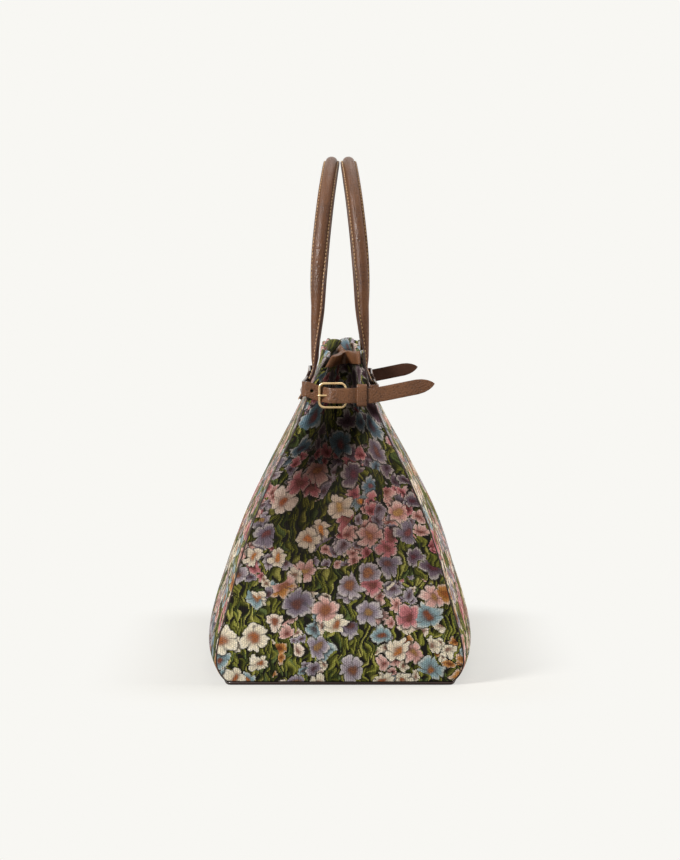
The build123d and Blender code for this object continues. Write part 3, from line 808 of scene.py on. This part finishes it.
def leather_material(name, pebble, colour, dark, grain, depth, **sockets):
    """Leather with a pebbled grain: cells to a metre, and how deep they are."""
    made, tree, shader = finish(name, **sockets)
    tints = {"Colour": paint(colour), "Dark": paint(dark)}
    out = placed(tree, pebble, {"Place": piece_place(tree), "Grain": grain, **tints})
    fill(tree, shader, {"Base Color": out["Colour"], "Roughness": out["Roughness"]})
    raised(tree, shader, out["Height"], 0.8, depth)
    return made


def thread_material():
    """Waxed brown thread with a fine twist."""
    made, tree, shader = finish("waxed_thread", Roughness=0.55)
    inputs = {"Vector": piece_place(tree), "Scale": 900.0, "Distortion": 2.0}
    twist = node(tree, "TexWave", inputs).outputs["Fac"]
    fill(tree, shader, {"Base Color": mixed(tree, twist, paint("a9825a"), paint("d9b888"))})
    raised(tree, shader, twist, 0.3, 0.0001)
    return made


def gold_material():
    """Pale gold plate with fine polishing marks and slightly duller patches."""
    made, tree, shader = finish("pale_gold", Metallic=1.0)
    place = piece_place(tree)
    marks = noise(tree, vectors(tree, "MULTIPLY", place, (1.0, 0.12, 1.0)), 2600.0, 2.0)[0]
    dull = noise(tree, place, 160.0, 2.0)[0]
    rough = sums(tree, "MULTIPLY_ADD", marks, 0.16, sums(tree, "MULTIPLY_ADD", dull, 0.12, 0.14))
    colour = mixed(tree, dull, paint("e0b980"), paint("f0d5a8"))
    fill(tree, shader, {"Base Color": colour, "Roughness": rough})
    raised(tree, shader, marks, 0.06, 0.0001)
    return made


def board_material():
    """Stiff board covered in the lining's plain cloth."""
    made, tree, shader = finish("covered_board", Roughness=0.8)
    place = piece_place(tree)
    weave = node(tree, "TexChecker", {"Vector": place, "Scale": 1400.0}).outputs["Fac"]
    fibre = noise(tree, place, 320.0, 2.0)[0]
    fill(tree, shader, {"Base Color": mixed(tree, fibre, paint("32291f"), paint("5a4c3d"))})
    raised(tree, shader, weave, 0.25, 0.0001)
    return made


woven = jacquard_group()
# One cloth in two copies: the gussets' carries the full painted fold shade, the panels' only a faint one
jacquard = jacquard_material("floral_jacquard", woven, PRINT_FULL_SHADE)
pale_jacquard = jacquard_material("pale_floral_jacquard", woven, PRINT_FAINT_SHADE)
lining = lining_material(woven)
pebbled = pebble_group()
leather = leather_material(
    "brown_leather", pebbled, "704a30", "2e1a0f", 950.0, 0.00050, Specular_IOR_Level=0.4)
handle_leather = leather_material(
    "handle_leather", pebbled, "633f26", "2a170c", 1000.0, 0.00060, Specular_IOR_Level=0.35)
# Back faces of the side straps: the leather's flesh side, made darker as painted shade for the undersides
flesh_side_and_shade = leather_material(
    "flesh_side_and_shade", pebbled, "4a2f22", "2e1a12", 2200.0, 0.0001, Specular_IOR_Level=0.2)
edge_paint = leather_material(
    "edge_paint", pebbled, "3a231a", "26150f", 420.0, 0.0001, Coat_Weight=0.25)
dark_leather = leather_material("dark_leather", pebbled, "33211a", "1e120d", 1300.0, 0.0002)
thread = thread_material()
gold = gold_material()


# Fabric


def panel_heights():
    """Heights from the base up: round the base corner by angle, then evenly to the rim."""
    foot = BASE_THICKNESS + SEAM_GAP
    angle = np.linspace(math.asin(1 - foot / BASE_CORNER), 0, CORNER_ROWS)[:-1]
    above = np.linspace(BASE_CORNER, BODY_HEIGHT, PANEL_ROWS)
    return np.concatenate([BASE_CORNER * (1 - np.sin(angle)), above])


def make_cloth(name, grid, stuff, laid, facing, edge):
    """Lined sheet of cloth on a grid, with rounded cut edges."""
    mesh = mesh_of(name, grid, [stuff, lining], uv=laid, facing=facing)
    made = thicken(piece(name, mesh, "jacquard", name), FABRIC, edge, inner=1)


def make_panel(side, name):
    """Panel: depth over share of length and height. Dents in the belly and waves of the
    rim between the handles are products and sums of sines. At its middle the rim is drawn
    in, swayed and lifted, each by a bell curve."""
    along = np.linspace(-1, 1, PANEL_COLUMNS)[None, :]
    height = panel_heights()[:, None]
    share = np.clip(height / BODY_HEIGHT, 0, 1)
    inward = 1 - along**2
    hold = bell(np.abs(along) - HANDLE_SPREAD / TOP_LENGTH, HOLD_REACH)
    top = np.clip((height / BODY_HEIGHT - RIM_START) / (1 - RIM_START), 0, 1) ** 2
    free = inward * np.clip(FREE_EASE - hold, 0, 1)
    first, second = WAVE_TURNS
    wave = np.sin(along * first + side) + SECOND_WAVE * np.sin(along * second + 2.0 * side)
    sway = np.sin(along * SWAY_TURN) * bell(along, SWAY_REACH)
    ripple = np.sin(along * RIPPLE_TURN + 1.3 * side)
    long, tall, up, slant = DENT_TURNS
    dents = np.sin(along * long + tall * share + side) * np.sin(up * share * math.pi + along * slant)
    rim = free * (WAVE * wave + side * SWAY * sway) - DRAW * bell(along, DRAW_REACH)
    depth = panel_depth(along, height) + RIM_PULL * level(PULL_SHARES, height) * hold
    depth = depth + top * rim + DENT * dents * inward * np.sin(math.pi * share)
    lift = top * (RIPPLE * free * ripple + LIFT * bell(along, LIFT_REACH))
    reach = half_length(height) - PIPING / 2
    grid = settled(np.stack(np.broadcast_arrays(along * reach, side * depth, height + lift), axis=-1))
    laid = np.stack([grid[..., 0] * side + PANEL_PLACES[side], lengths(grid)], axis=-1)
    make_cloth(name, grid, pale_jacquard, laid, (0, side, 0), PANEL_EDGE)


def gusset_grid(height, margin):
    """Folded end: the row across each height runs from seam to seam, bowed out below and
    drawn in by the fold above, on the cubic through the fold's table."""
    reach = (seam_depth(height) - margin)[:, None]
    fold = (FOLD_DEPTH * level(FOLD_SHARES, height))[:, None]
    bulge = (END_BULGE * level(BULGE_SHARES, height) * np.minimum(height / BASE_CORNER, 1))[:, None]
    x = half_length(height)[:, None] + bulge * (1 - ACROSS_SHARES**2) - fold * DEPTH_SHARES
    knots = np.stack(np.broadcast_arrays(x, reach * ACROSS_SHARES), axis=-1)
    row = np.swapaxes(flow(np.swapaxes(knots, 0, 1), FOLD_STEPS), 0, 1)
    return np.concatenate([row, np.broadcast_to(height[:, None, None], row.shape[:2] + (1,))], axis=-1)


def make_gusset(end, name):
    """End gusset with creases that run from the strap's corners down into the fold, and
    slack below them: sines that fade by a bell curve over the height."""
    top = BODY_HEIGHT - BINDING_HEIGHT - SEAM_GAP
    foot = panel_heights()
    height = np.concatenate([foot[foot < top], [top]])
    grid = gusset_grid(height, PIPING / 2)
    across = np.linspace(-1, 1, grid.shape[1])[None, :]
    rise = (height / BODY_HEIGHT)[:, None]
    wide, tall = CREASE_TURNS
    crease = np.sin(wide * across + tall * rise) * bell(rise - CREASE_HEIGHT, CREASE_REACH)
    wide, tall = SLACK_TURNS
    slack = np.sin(wide * across - tall * rise + SLACK_START) * bell(rise - SLACK_HEIGHT, SLACK_REACH)
    grid[..., 0] += (1 - across**2) * (CREASE * crease + SLACK * slack)
    grid = settled(grid)
    run = np.swapaxes(lengths(np.swapaxes(grid, 0, 1)), 0, 1)
    laid = np.stack([run - run[:, -1:] / 2 + GUSSET_PLACE * end, lengths(grid) + GUSSET_RISE], axis=-1)
    make_cloth(name, mirrored(grid, end), jacquard, laid, (end, 0, 0), GUSSET_EDGE)


def make_binding(end, name):
    """Leather band folded double along the top edge of the gusset."""
    height = np.linspace(BODY_HEIGHT - BINDING_HEIGHT, BODY_HEIGHT, BINDING_ROWS)
    grid = settled(gusset_grid(height, PIPING + SEAM_GAP + BINDING_INSET))
    mesh = mesh_of(name, mirrored(grid, end), [leather], facing=(end, 0, 0))
    thicken(piece(name, mesh, "leather", name), 2 * BINDING_LEATHER, BINDING_EDGE)


def ring(count, square=1.0):
    """Closed section of a number of points: a circle, or a rounded square where the power
    of its cosine and sine is under one."""
    turn = np.arange(count) / count * 2 * math.pi
    c, s = np.cos(turn), np.sin(turn)
    return np.sign(c) * np.abs(c) ** square, np.sign(s) * np.abs(s) ** square


def carried_circle(centre, normals, radius, count):
    """A circle of a number of points carried along a path, at its own radius."""
    _, wide, out = frames(centre, normals)
    c, s = ring(count)
    return centre[:, None] + radius * (wide[:, None] * c[:, None] + out[:, None] * s[:, None])


def make_closed(name, grid, stuff, slot, loop=False):
    """Closed piece of one stuff: a row of rings, joined last to first in a loop or closed
    at both ends."""
    piece(name, mesh_of(name, grid, [stuff], wrap=True, loop=loop, ends=not loop), slot, name)


def make_piping(side, end, name):
    """Covered cord along an end seam: a circle carried up the seam, closed at both ends."""
    height = panel_heights()
    height[-1] -= PIPING_DROP
    centre = settled(np.stack([half_length(height), side * seam_depth(height), height], axis=-1))
    grid = carried_circle(centre, np.tile([1.0, 0.0, 0.0], (len(height), 1)), PIPING, PIPING_SIDES)
    grid[..., 2] = np.clip(grid[..., 2], BASE_THICKNESS, BODY_HEIGHT)
    make_closed(name, mirrored(grid, end), dark_leather, "dark_leather")


def make_base(name):
    """Leather base: rings of one outline, from the middle of the underside out round the
    edge and over the top, each ring at its own inset and height."""
    foot = np.array(BASE_THICKNESS + SEAM_GAP)
    end = BASE_LENGTH / 2 + PIPING
    corner = float(seam_depth(foot)) + FABRIC / 2
    middle = float(panel_depth(np.array(0.0), foot)) + FABRIC / 2
    x = np.linspace(-end, end, BASE_COLUMNS)
    edge = corner + (middle - corner) * (1 - (x / end) ** 2)
    y = np.linspace(-corner, corner, BASE_ROWS)[1:-1]
    one = np.stack([x, -edge], axis=-1)
    two = np.stack([np.full_like(y, end), y], axis=-1)
    outline = np.concatenate([one, two, -one, -two])
    away = np.maximum(np.abs(outline) - np.array([end, corner]) + BASE_EDGE, 0)
    far = np.linalg.norm(away, axis=-1, keepdims=True)
    rounded = away - away * BASE_EDGE / np.maximum(far, 1e-9)
    cut = np.where((away > 0).all(axis=-1, keepdims=True), rounded, 0)
    outline = outline - np.sign(outline) * cut
    rounding = BASE_THICKNESS / 2
    angle = np.linspace(-math.pi / 2, math.pi / 2, BASE_EDGE_RINGS)
    flat = np.zeros(len(RING_SHARES))
    share = np.concatenate([RING_SHARES, np.ones(len(angle)), RING_SHARES[::-1]])
    inset = np.concatenate([flat, rounding * (1 - np.cos(angle)), flat])
    height = np.concatenate([flat, rounding * (1 + np.sin(angle)), flat + BASE_THICKNESS])
    rings = outline * share[:, None, None] - np.sign(outline) * inset[:, None, None]
    grid = np.concatenate([rings, np.broadcast_to(height[:, None, None], rings.shape[:2] + (1,))], axis=-1)
    make_closed(name, grid, dark_leather, "dark_leather")


# Handles


def handle_path(side):
    """Stations along the back of a handle, the way its padded face looks and how full the
    padding is: the tabs down the panel, then the arch, mirrored about the middle."""
    half = HANDLE_SPREAD / 2
    tab = BODY_HEIGHT - HANDLE_TAB * TAB_SHARES
    depth = held_depth(tab) + (FABRIC / 2 + HANDLE_TAB_GAP * TAB_LIFT_SHARES) / np.cos(lean(tab))
    low = np.stack([np.full(4, half), side * depth, tab], axis=-1)
    rim = held_depth(np.array(BODY_HEIGHT)) + FABRIC / 2 + SEAM_GAP
    meet = (HANDLE_WIDTH + HANDLE_GAP) / 2
    rise = HANDLE_RISE - HANDLE_DOME
    leaning = side * (meet + (rim - meet) * LEAN_SHARES)
    high = np.stack([half * SPREAD_SHARES, leaning, BODY_HEIGHT + rise * RISE_SHARES], axis=-1)
    climb = np.maximum(RISE_SHARES - ARCH_SHARE, 0) * rise / half
    radial = unit(np.stack([SPREAD_SHARES, np.zeros(6), climb], axis=-1))
    outward = np.array([0.0, side, 0.0])
    facing = outward * TURN_SHARES[:, None] + radial * (1 - TURN_SHARES[:, None])
    points = np.concatenate([low, high])
    normals = np.concatenate([np.tile(outward, (4, 1)), facing])
    pads = np.concatenate([TAB_PAD_SHARES, np.ones(6)])
    flip = np.array([-1, 1, 1])
    points = np.concatenate([points[:-1] * flip, points[::-1]])
    normals = np.concatenate([normals[:-1] * flip, normals[::-1]])
    pads = np.concatenate([pads[:-1], pads[::-1]])
    fullness = np.clip(flow(pads[:, None], HANDLE_STEPS), 0, 1)
    return flow(points, HANDLE_STEPS), flow(normals, HANDLE_STEPS), fullness


def handle_margin(pad):
    """Thickness of a handle's margins, from that of its tabs to that of its arch."""
    return HANDLE_TAB_THICKNESS + (HANDLE_MARGIN - HANDLE_TAB_THICKNESS) * pad


def handle_section(pad):
    """Across and up of a handle's section for each fullness of its padding: flat underside,
    rounded margins, a groove along the seam and a half ellipse over the pad."""
    wide, padded, turn = HANDLE_WIDTH / 2, HANDLE_PAD / 2, HANDLE_ROUND
    crown = (HANDLE_DOME - HANDLE_MARGIN) * pad
    angle = np.linspace(DOME_START, math.pi - DOME_START, DOME_POINTS)
    low = np.array([-wide + turn, -0.5 * wide, 0.0, 0.5 * wide, wide - turn, wide - 0.3 * turn, wide, wide])
    low_up = np.array([0, 0, 0, 0, 0, 0.3 * turn, turn, -turn])
    low_margin = np.array([0, 0, 0, 0, 0, 0, 0, 1.0])
    side = np.array([wide - 0.3 * turn, wide - turn, padded + GROOVE_OUTER, padded + GROOVE_INNER])
    side_up = np.array([-0.3 * turn, 0, 0, -GROOVE_DEPTH])
    across = np.concatenate([low, side, padded * np.cos(angle), -side[::-1], -low[:5:-1]])
    add = np.concatenate([low_up, side_up, np.zeros(len(angle)), side_up[::-1], low_up[:5:-1]])
    lift = np.concatenate([low_margin, np.ones(len(angle) + 2 * len(side)), low_margin[:5:-1]])
    dome = np.concatenate([np.zeros(len(low) + len(side)), np.sin(angle), np.zeros(len(side) + 2)])
    return np.broadcast_to(across, (len(pad), len(across))), add + lift * handle_margin(pad) + dome * crown


def make_handle(side, name):
    """Handle: its section carried along the path, with dark painted edges and a row of
    stitches along each margin."""
    points, normals, pad = handle_path(side)
    _, wide, out = frames(points, normals)
    across, up = handle_section(pad)
    grid = points[:, None] + wide[:, None] * across[..., None] + out[:, None] * up[..., None]
    bands = np.zeros(grid.shape[1], int)
    bands[[6, -2]] = 1
    mesh = mesh_of(name, grid, [handle_leather, edge_paint], wrap=True, ends=True, bands=bands)
    made = piece(name, mesh, "leather", name)
    above = out * (handle_margin(pad) + STITCH_LIFT)
    aside = wide * (HANDLE_WIDTH / 2 - STITCH_INSET)
    for which, edge in (("outer", 1), ("inner", -1)):
        make_stitches(f"{name}_{which}_stitches", points + edge * aside + above, out)


def make_stitches(name, line, normals):
    """Row of stitches: at each place along a line a short rod whose radius is a quarter
    power of a parabola and whose ends dip into the leather."""
    places, out = even(line, STITCH_PITCH, normals)
    run, wide, out = frames(places, out)
    t = np.linspace(-1, 1, STITCH_RINGS)
    full = np.maximum(1 - t**2, 0.02) ** 0.25
    c, s = ring(STITCH_SIDES)
    along = run[:, None] * (t * STITCH_LENGTH / 2)[:, None]
    centre = places[:, None] + along - out[:, None] * (STITCH_DIP * t**4)[:, None]
    around = wide[:, None] * c[:, None] + out[:, None] * s[:, None]
    grid = centre[:, :, None] + STITCH_RADIUS * full[:, None, None] * around[:, None]
    index = np.arange(grid.size // 3).reshape(grid.shape[:3])
    caps = np.concatenate([index[:, 0, ::-1], index[:, -1]])
    index = np.concatenate([index, index[..., :1]], axis=-1)
    quads = np.stack([index[:, :-1, :-1], index[:, :-1, 1:], index[:, 1:, 1:], index[:, 1:, :-1]], -1)
    faces = quads.reshape(-1, 4).tolist() + caps.tolist()
    piece(name, new_mesh(name, grid.reshape(-1, 3), faces, thread), "leather")


# Straps and buckles


def buckle_place(along, out, rise):
    """Point by the right-hand buckle, from the middle of its heel bar."""
    height = STRAP_HEIGHT - STRAP_DROP
    heel = BUCKLE_OFFSET + (BUCKLE_LENGTH - BUCKLE_WIRE) / 2
    return np.array([half_length(height) + BUCKLE_STANDOFF + out, heel + along, height + rise])


def corner_run(side, height, thickness, reach):
    """Stations of a strap over the handle's tab, then a quarter circle round the corner."""
    margin = HANDLE_WIDTH / 2 + STRAP_LAP
    height = np.array(height)
    tilt = lean(height)
    stack = FABRIC / 2 + 2 * HANDLE_TAB_GAP + HANDLE_TAB_THICKNESS + thickness / 2
    depth = side * (held_depth(height) + stack / np.cos(tilt))
    half = HANDLE_SPREAD / 2
    out = np.array([0, side * np.cos(tilt), np.sin(tilt)])
    start = np.array([[half - margin, depth, height], [half + margin, depth, height]])
    by_seam = np.array([0.0, side, 0.0])
    corner = seam_depth(height) + PIPING + STRAP_CLEAR + thickness / 2
    turn = np.array([reach - STRAP_BEND, side * corner, height]) - by_seam * STRAP_BEND
    angle = (CORNER_SHARES * math.pi / 2)[:, None]
    way = by_seam * np.cos(angle) + np.array([1.0, 0, 0]) * np.sin(angle)
    return np.concatenate([start, turn + way * STRAP_BEND]), np.concatenate([[out, out], way])


def chape_levels():
    """How far out the chape's two layers lie."""
    first = -(BUCKLE_WIRE / 2 + BAR_GAP + CHAPE_THICKNESS / 2)
    return first, first + CHAPE_THICKNESS + STACK_GAP


def strap_levels():
    """How far out the strap lies under the front bar, over the heel bar, on the chape."""
    bar = BUCKLE_WIRE / 2
    under = -(bar + STACK_GAP + STRAP_THICKNESS / 2)
    over = bar + BAR_GAP + CHAPE_THICKNESS + STACK_GAP + STRAP_THICKNESS / 2
    return under, over, chape_levels()[1] + CHAPE_THICKNESS / 2 + STACK_GAP + STRAP_THICKNESS / 2


def ribbon(name, end, points, normals, widths, thickness, back, holes=()):
    """Flat strap: a row of points across the width at each place along the path, with
    painted edges, a back of its own and punched holes."""
    places, facing, wide_at = even(points, RIBBON_PITCH, normals, widths)
    _, wide, out = frames(places, facing)
    across = wide_at[:, None] * np.linspace(-0.5, 0.5, RIBBON_COLUMNS)
    grid = places[:, None] + wide[:, None] * across[..., None]
    mesh = mesh_of(name, mirrored(grid, end), [leather, edge_paint, back], facing=mirrored(out, end))
    made = thicken(piece(name, mesh, "leather", name), thickness, STRAP_EDGE, inner=2, rim=1)
    for place, way in holes:
        punch(made, mirrored(place, end), way)


def punch(made, place, way):
    """Cuts a round hole through a strap along an axis: a tube of many sides is taken away,
    and the modifiers are settled into the mesh."""
    c, s = ring(PUNCH_SIDES)
    circle = HOLE_RADIUS * (c[:, None] * np.roll(way, 1) + s[:, None] * np.roll(way, 2))
    reach = PUNCH_REACH * np.array(way)
    grid = place + np.stack([circle - reach, circle + reach])
    tube = put("punch", mesh_of("punch", grid, [edge_paint], wrap=True, ends=True))
    cut = made.modifiers.new("hole", "BOOLEAN")
    cut.object = tube
    cut.operation = "DIFFERENCE"
    cut.solver = "EXACT"
    seen = made.evaluated_get(bpy.context.evaluated_depsgraph_get())
    punched = bpy.data.meshes.new_from_object(seen)
    made.modifiers.clear()
    made.data = punched
    bpy.data.objects.remove(tube)


def make_strap(end, name):
    """Side strap: over the front tab, round the corner, under the front bar of the buckle,
    over its heel bar, through the keeper and up to the pointed tip."""
    under, over, lain = strap_levels()
    span = BUCKLE_LENGTH - BUCKLE_WIRE
    keeper_end = KEEPER_PLACE + KEEPER_WIDTH
    points, normals = corner_run(FRONT, STRAP_HEIGHT, STRAP_THICKNESS, buckle_place(0, under, 0)[0])
    before_bar = buckle_place(-span - RAMP_START, under, BAR_RISE)
    holes = [
        ((points[-1] + before_bar) / 2, (1.0, 0.0, 0.0)),
        (points[2] - np.array([HOLE_PITCH / 2, 0, 0]), (0.0, 1.0, 0.0)),
    ]
    tail = STRAP_TAIL - STRAP_POINT * (1 - POINT_SHARES)
    tip = [buckle_place(keeper_end + t, lain, STRAP_RISE * t / STRAP_TAIL) for t in tail]
    passed = [
        before_bar,
        buckle_place(RAMP_START - span, under, BAR_RISE / 2),
        buckle_place(RAMP_END - span, over, 0),
        buckle_place(HUMP, over, 0),
        buckle_place(SETTLE, lain, 0),
        buckle_place(keeper_end, lain, 0),
    ]
    straight = len(points) + len(passed)
    points = np.concatenate([points, passed, tip])
    normals = np.concatenate([normals, np.tile([1.0, 0, 0], (len(points) - len(normals), 1))])
    widths = STRAP_WIDTH * np.concatenate([np.ones(straight), TAPER_SHARES])
    ribbon(name, end, points, normals, widths, STRAP_THICKNESS, flesh_side_and_shade, holes)


def make_chape(end, name):
    """Short strap: over the back tab, round the corner, along to the heel bar, round it and
    back under the side strap."""
    first, second = chape_levels()
    points, normals = corner_run(BACK, CHAPE_HEIGHT, CHAPE_THICKNESS, buckle_place(0, first, 0)[0])
    angle = BAR_SHARES * math.pi / 2
    bar = [buckle_place(first * math.cos(a), -first * math.sin(a), 0) for a in angle]
    way = np.stack([-np.sin(angle), np.cos(angle), np.zeros(5)], axis=-1)
    back = [buckle_place(SETTLE - HUMP, second, 0), buckle_place(CHAPE_RETURN, second, 0)]
    points = np.concatenate([points, [buckle_place(KEEPER_PLACE, first, 0)], bar, back])
    normals = np.concatenate([normals, [[1.0, 0, 0]], way, [[-1.0, 0, 0]] * 2])
    widths = np.full(len(points), STRAP_WIDTH)
    ribbon(name, end, points, normals, widths, CHAPE_THICKNESS, leather)


def rounded_loop(long, tall, corner, steps):
    """Closed path of a rounded rectangle, and the outward ways along it: four quarter
    circles about the corners' centres."""
    quarter = np.linspace(0, math.pi / 2, steps)
    turn = np.concatenate([quarter + k * math.pi / 2 for k in range(4)])
    way = np.stack([np.cos(turn), np.sin(turn)], axis=-1)
    signs = np.repeat(np.array([[1, 1], [-1, 1], [-1, -1], [1, -1]]), steps, axis=0)
    centre = signs * np.array([long / 2 - corner, tall / 2 - corner])
    return centre + corner * way, way


def carried_round(path, way, first, second, normal, middle, thick, wide, square):
    """A rounded section carried round a flat loop that lies in two directions."""
    c, s = ring(LOOP_SIDES, square)
    first, second, normal = np.array(first), np.array(second), np.array(normal)
    centre = middle + path[:, :1] * first + path[:, 1:] * second
    out = way[:, :1] * first + way[:, 1:] * second
    return centre[:, None] + out[:, None] * (thick / 2 * c)[:, None] + normal * (wide / 2 * s)[:, None]


def make_frame(end, name):
    """Buckle frame: a softly squared wire bent round a rounded rectangle."""
    path, way = rounded_loop(BUCKLE_LENGTH - BUCKLE_WIRE, BUCKLE_HEIGHT - BUCKLE_WIRE,
                             BUCKLE_CORNER - BUCKLE_WIRE / 2, FRAME_STEPS)
    middle = buckle_place((BUCKLE_WIRE - BUCKLE_LENGTH) / 2, 0, 0)
    grid = carried_round(
        path, way, (0, 1, 0), (0, 0, 1), (1, 0, 0), middle, BUCKLE_WIRE, BUCKLE_WIRE, BUCKLE_SQUARE)
    make_closed(name, mirrored(grid, end), gold, "buckle", loop=True)


def make_tongue(end, name):
    """Buckle tongue: a round wire that curls about the heel bar and runs straight over the
    front bar to a rounded tip."""
    level_out = BUCKLE_WIRE / 2 + STACK_GAP + TONGUE_WIRE / 2
    angle = np.linspace(-TONGUE_CURL, 0, CURL_POINTS)
    curl = np.stack([np.sin(angle), np.cos(angle)], axis=-1) * level_out
    reach = BUCKLE_LENGTH - BUCKLE_WIRE + TONGUE_TIP
    straight = -np.linspace(0, 1, TONGUE_POINTS)[1:] * reach
    ahead = np.stack([straight, np.full(len(straight), level_out)], axis=-1)
    points = np.stack([buckle_place(a, o, 0) for a, o in np.concatenate([curl, ahead])])
    left = lengths(points)[-1] - lengths(points)
    slim = TONGUE_WIRE / 2 * np.clip(np.sqrt(np.maximum(left, 0) / TONGUE_POINT), TONGUE_THIN, 1)
    upright = np.tile([0.0, 0.0, 1.0], (len(points), 1))
    grid = carried_circle(points, upright, slim[:, None, None], TONGUE_SIDES)
    make_closed(name, mirrored(grid, end), gold, "buckle")


def make_keeper(end, name):
    """Keeper: a flat leather band carried round a rounded rectangle."""
    low = chape_levels()[0] - CHAPE_THICKNESS / 2 - STACK_GAP
    high = strap_levels()[2] + STRAP_THICKNESS / 2 + STACK_GAP
    long = high - low + KEEPER_WALL
    tall = STRAP_WIDTH + 2 * KEEPER_ROOM + KEEPER_WALL
    path, way = rounded_loop(long, tall, KEEPER_CORNER, KEEPER_STEPS)
    middle = buckle_place(KEEPER_PLACE, (low + high) / 2, 0)
    grid = carried_round(
        path, way, (1, 0, 0), (0, 0, 1), (0, 1, 0), middle, KEEPER_WALL, KEEPER_WIDTH, KEEPER_SQUARE)
    make_closed(name, mirrored(grid, end), leather, "leather", loop=True)


def build_bag():
    """Makes every piece of the bag in place of its CAD node."""
    make_base("base_panel")
    for side, word in ((FRONT, "front"), (BACK, "back")):
        make_panel(side, f"{word}_panel")
        make_handle(side, f"handle_{word}")
    for end, word in ((RIGHT, "right"), (LEFT, "left")):
        make_gusset(end, f"gusset_{word}")
        make_binding(end, f"binding_{word}")
        make_piping(FRONT, end, f"piping_front_{word}")
        make_piping(BACK, end, f"piping_back_{word}")
        make_strap(end, f"side_strap_{word}")
        make_chape(end, f"chape_{word}")
        make_frame(end, f"buckle_frame_{word}")
        make_tongue(end, f"buckle_tongue_{word}")
        make_keeper(end, f"keeper_{word}")


# Stage, light and camera

BACKGROUND = paint("f8f7f3")
FLOOR_REACH = 12.0
FLOOR_GLOW = 0.54
FADE_START = 0.005
FADE_END = 0.12
EVEN_LIGHT = 0.07
PICTURE_HEIGHT = 860
HORIZON_PIXEL = 290
FOCAL_PIXELS = 2125
SENSOR = 36.0
CAMERA_PLACE = (1.88, 0.0, 0.320)


def make_stage():
    """Pale floor that takes the shadow near the bag and fades into the background by its
    distance from the bag's foot."""
    made, tree, shader = finish("pale_floor", Roughness=0.9, Specular_IOR_Level=0.1)
    place = piece_place(tree)
    grain = noise(tree, place, 6.0, 2.0)[0]
    fill(tree, shader, {"Base Color": mixed(tree, grain, paint("8e8c87"), paint("92908b"))})
    seen = node(tree, "LightPath").outputs["Is Camera Ray"]
    glow = sums(tree, "MULTIPLY", seen, FLOOR_GLOW)
    lift = node(tree, "Emission", {"Color": BACKGROUND, "Strength": glow})
    near = node(tree, "AddShader", {0: shader.outputs[0], 1: lift.outputs[0]})
    foot = (BASE_LENGTH / 2, BASE_DEPTH / 2, 0.0)
    outside = vectors(tree, "SUBTRACT", vectors(tree, "ABSOLUTE", place), foot)
    away = vectors(tree, "LENGTH", vectors(tree, "MAXIMUM", outside, (0.0, 0.0, 0.0)))
    share = sums(tree, "MULTIPLY", between(tree, away, FADE_START, FADE_END), seen)
    far = node(tree, "Emission", {"Color": BACKGROUND, "Strength": 1.0})
    blend = node(tree, "MixShader", {0: share, 1: near.outputs[0], 2: far.outputs[0]})
    fill(tree, tree.nodes["Material Output"], {"Surface": blend.outputs[0]})
    square = FLOOR_REACH * np.array([(-1, -1, 0), (1, -1, 0), (1, 1, 0), (-1, 1, 0)])
    floor = put("floor", new_mesh("floor", square, [(0, 1, 2, 3)], made))


def make_light(name, place, target, size, power):
    """Soft square lamp that looks at a point."""
    lamp = bpy.data.lights.new(name, "AREA")
    lamp.size = size
    lamp.energy = power
    made = put(name, lamp)
    made.location = place
    way = unit(np.array(target) - np.array(place))
    made.rotation_euler = (math.acos(-way[2]), 0, math.atan2(-way[0], way[1]))
    return made


def make_world():
    """Even pale light all round; the camera and reflections see the background colour."""
    world = bpy.data.worlds.new("studio")
    bpy.context.scene.world = world
    world.use_nodes = True
    tree = world.node_tree
    tree.nodes.clear()
    path = node(tree, "LightPath").outputs
    seen = sums(tree, "MAXIMUM", path["Is Camera Ray"], path["Is Glossy Ray"])
    seen = sums(tree, "MAXIMUM", seen, path["Is Transmission Ray"])
    even_light = node(tree, "Background", {"Color": (1.0, 0.99, 0.97, 1.0), "Strength": EVEN_LIGHT})
    shown = node(tree, "Background", {"Color": BACKGROUND, "Strength": 1.0})
    blend = node(tree, "MixShader", {0: seen, 1: even_light.outputs[0], 2: shown.outputs[0]})
    node(tree, "OutputWorld", {"Surface": blend.outputs[0]})


def make_camera():
    """Camera square to the end of the bag, tilted down so that the horizon stands above
    the middle of the picture."""
    view = bpy.data.cameras.new("camera")
    view.sensor_width = SENSOR
    view.lens = FOCAL_PIXELS * SENSOR / PICTURE_HEIGHT
    view.clip_start = 0.05
    made = put("camera", view)
    made.location = CAMERA_PLACE
    tilt = math.atan((PICTURE_HEIGHT / 2 - HORIZON_PIXEL) / FOCAL_PIXELS)
    made.rotation_euler = (math.pi / 2 - tilt, 0, math.pi / 2)
    bpy.context.scene.camera = made


build_bag()
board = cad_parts["base_board"].data
board.materials.clear()
board.materials.append(board_material())
make_stage()
make_light("key", place=(1.30, -1.40, 1.35), target=(0.1, 0, 0.15), size=0.6, power=66)
side_lamp = make_light("side", place=(0.05, 1.75, 0.75), target=(0, 0, 0.15), size=0.9, power=39)
side_lamp.visible_glossy = False
make_light("top", place=(-0.4, 0.2, 1.9), target=(0, 0, 0.2), size=1.0, power=8)
make_world()
make_camera()
bpy.context.scene.view_settings.view_transform = "Standard"
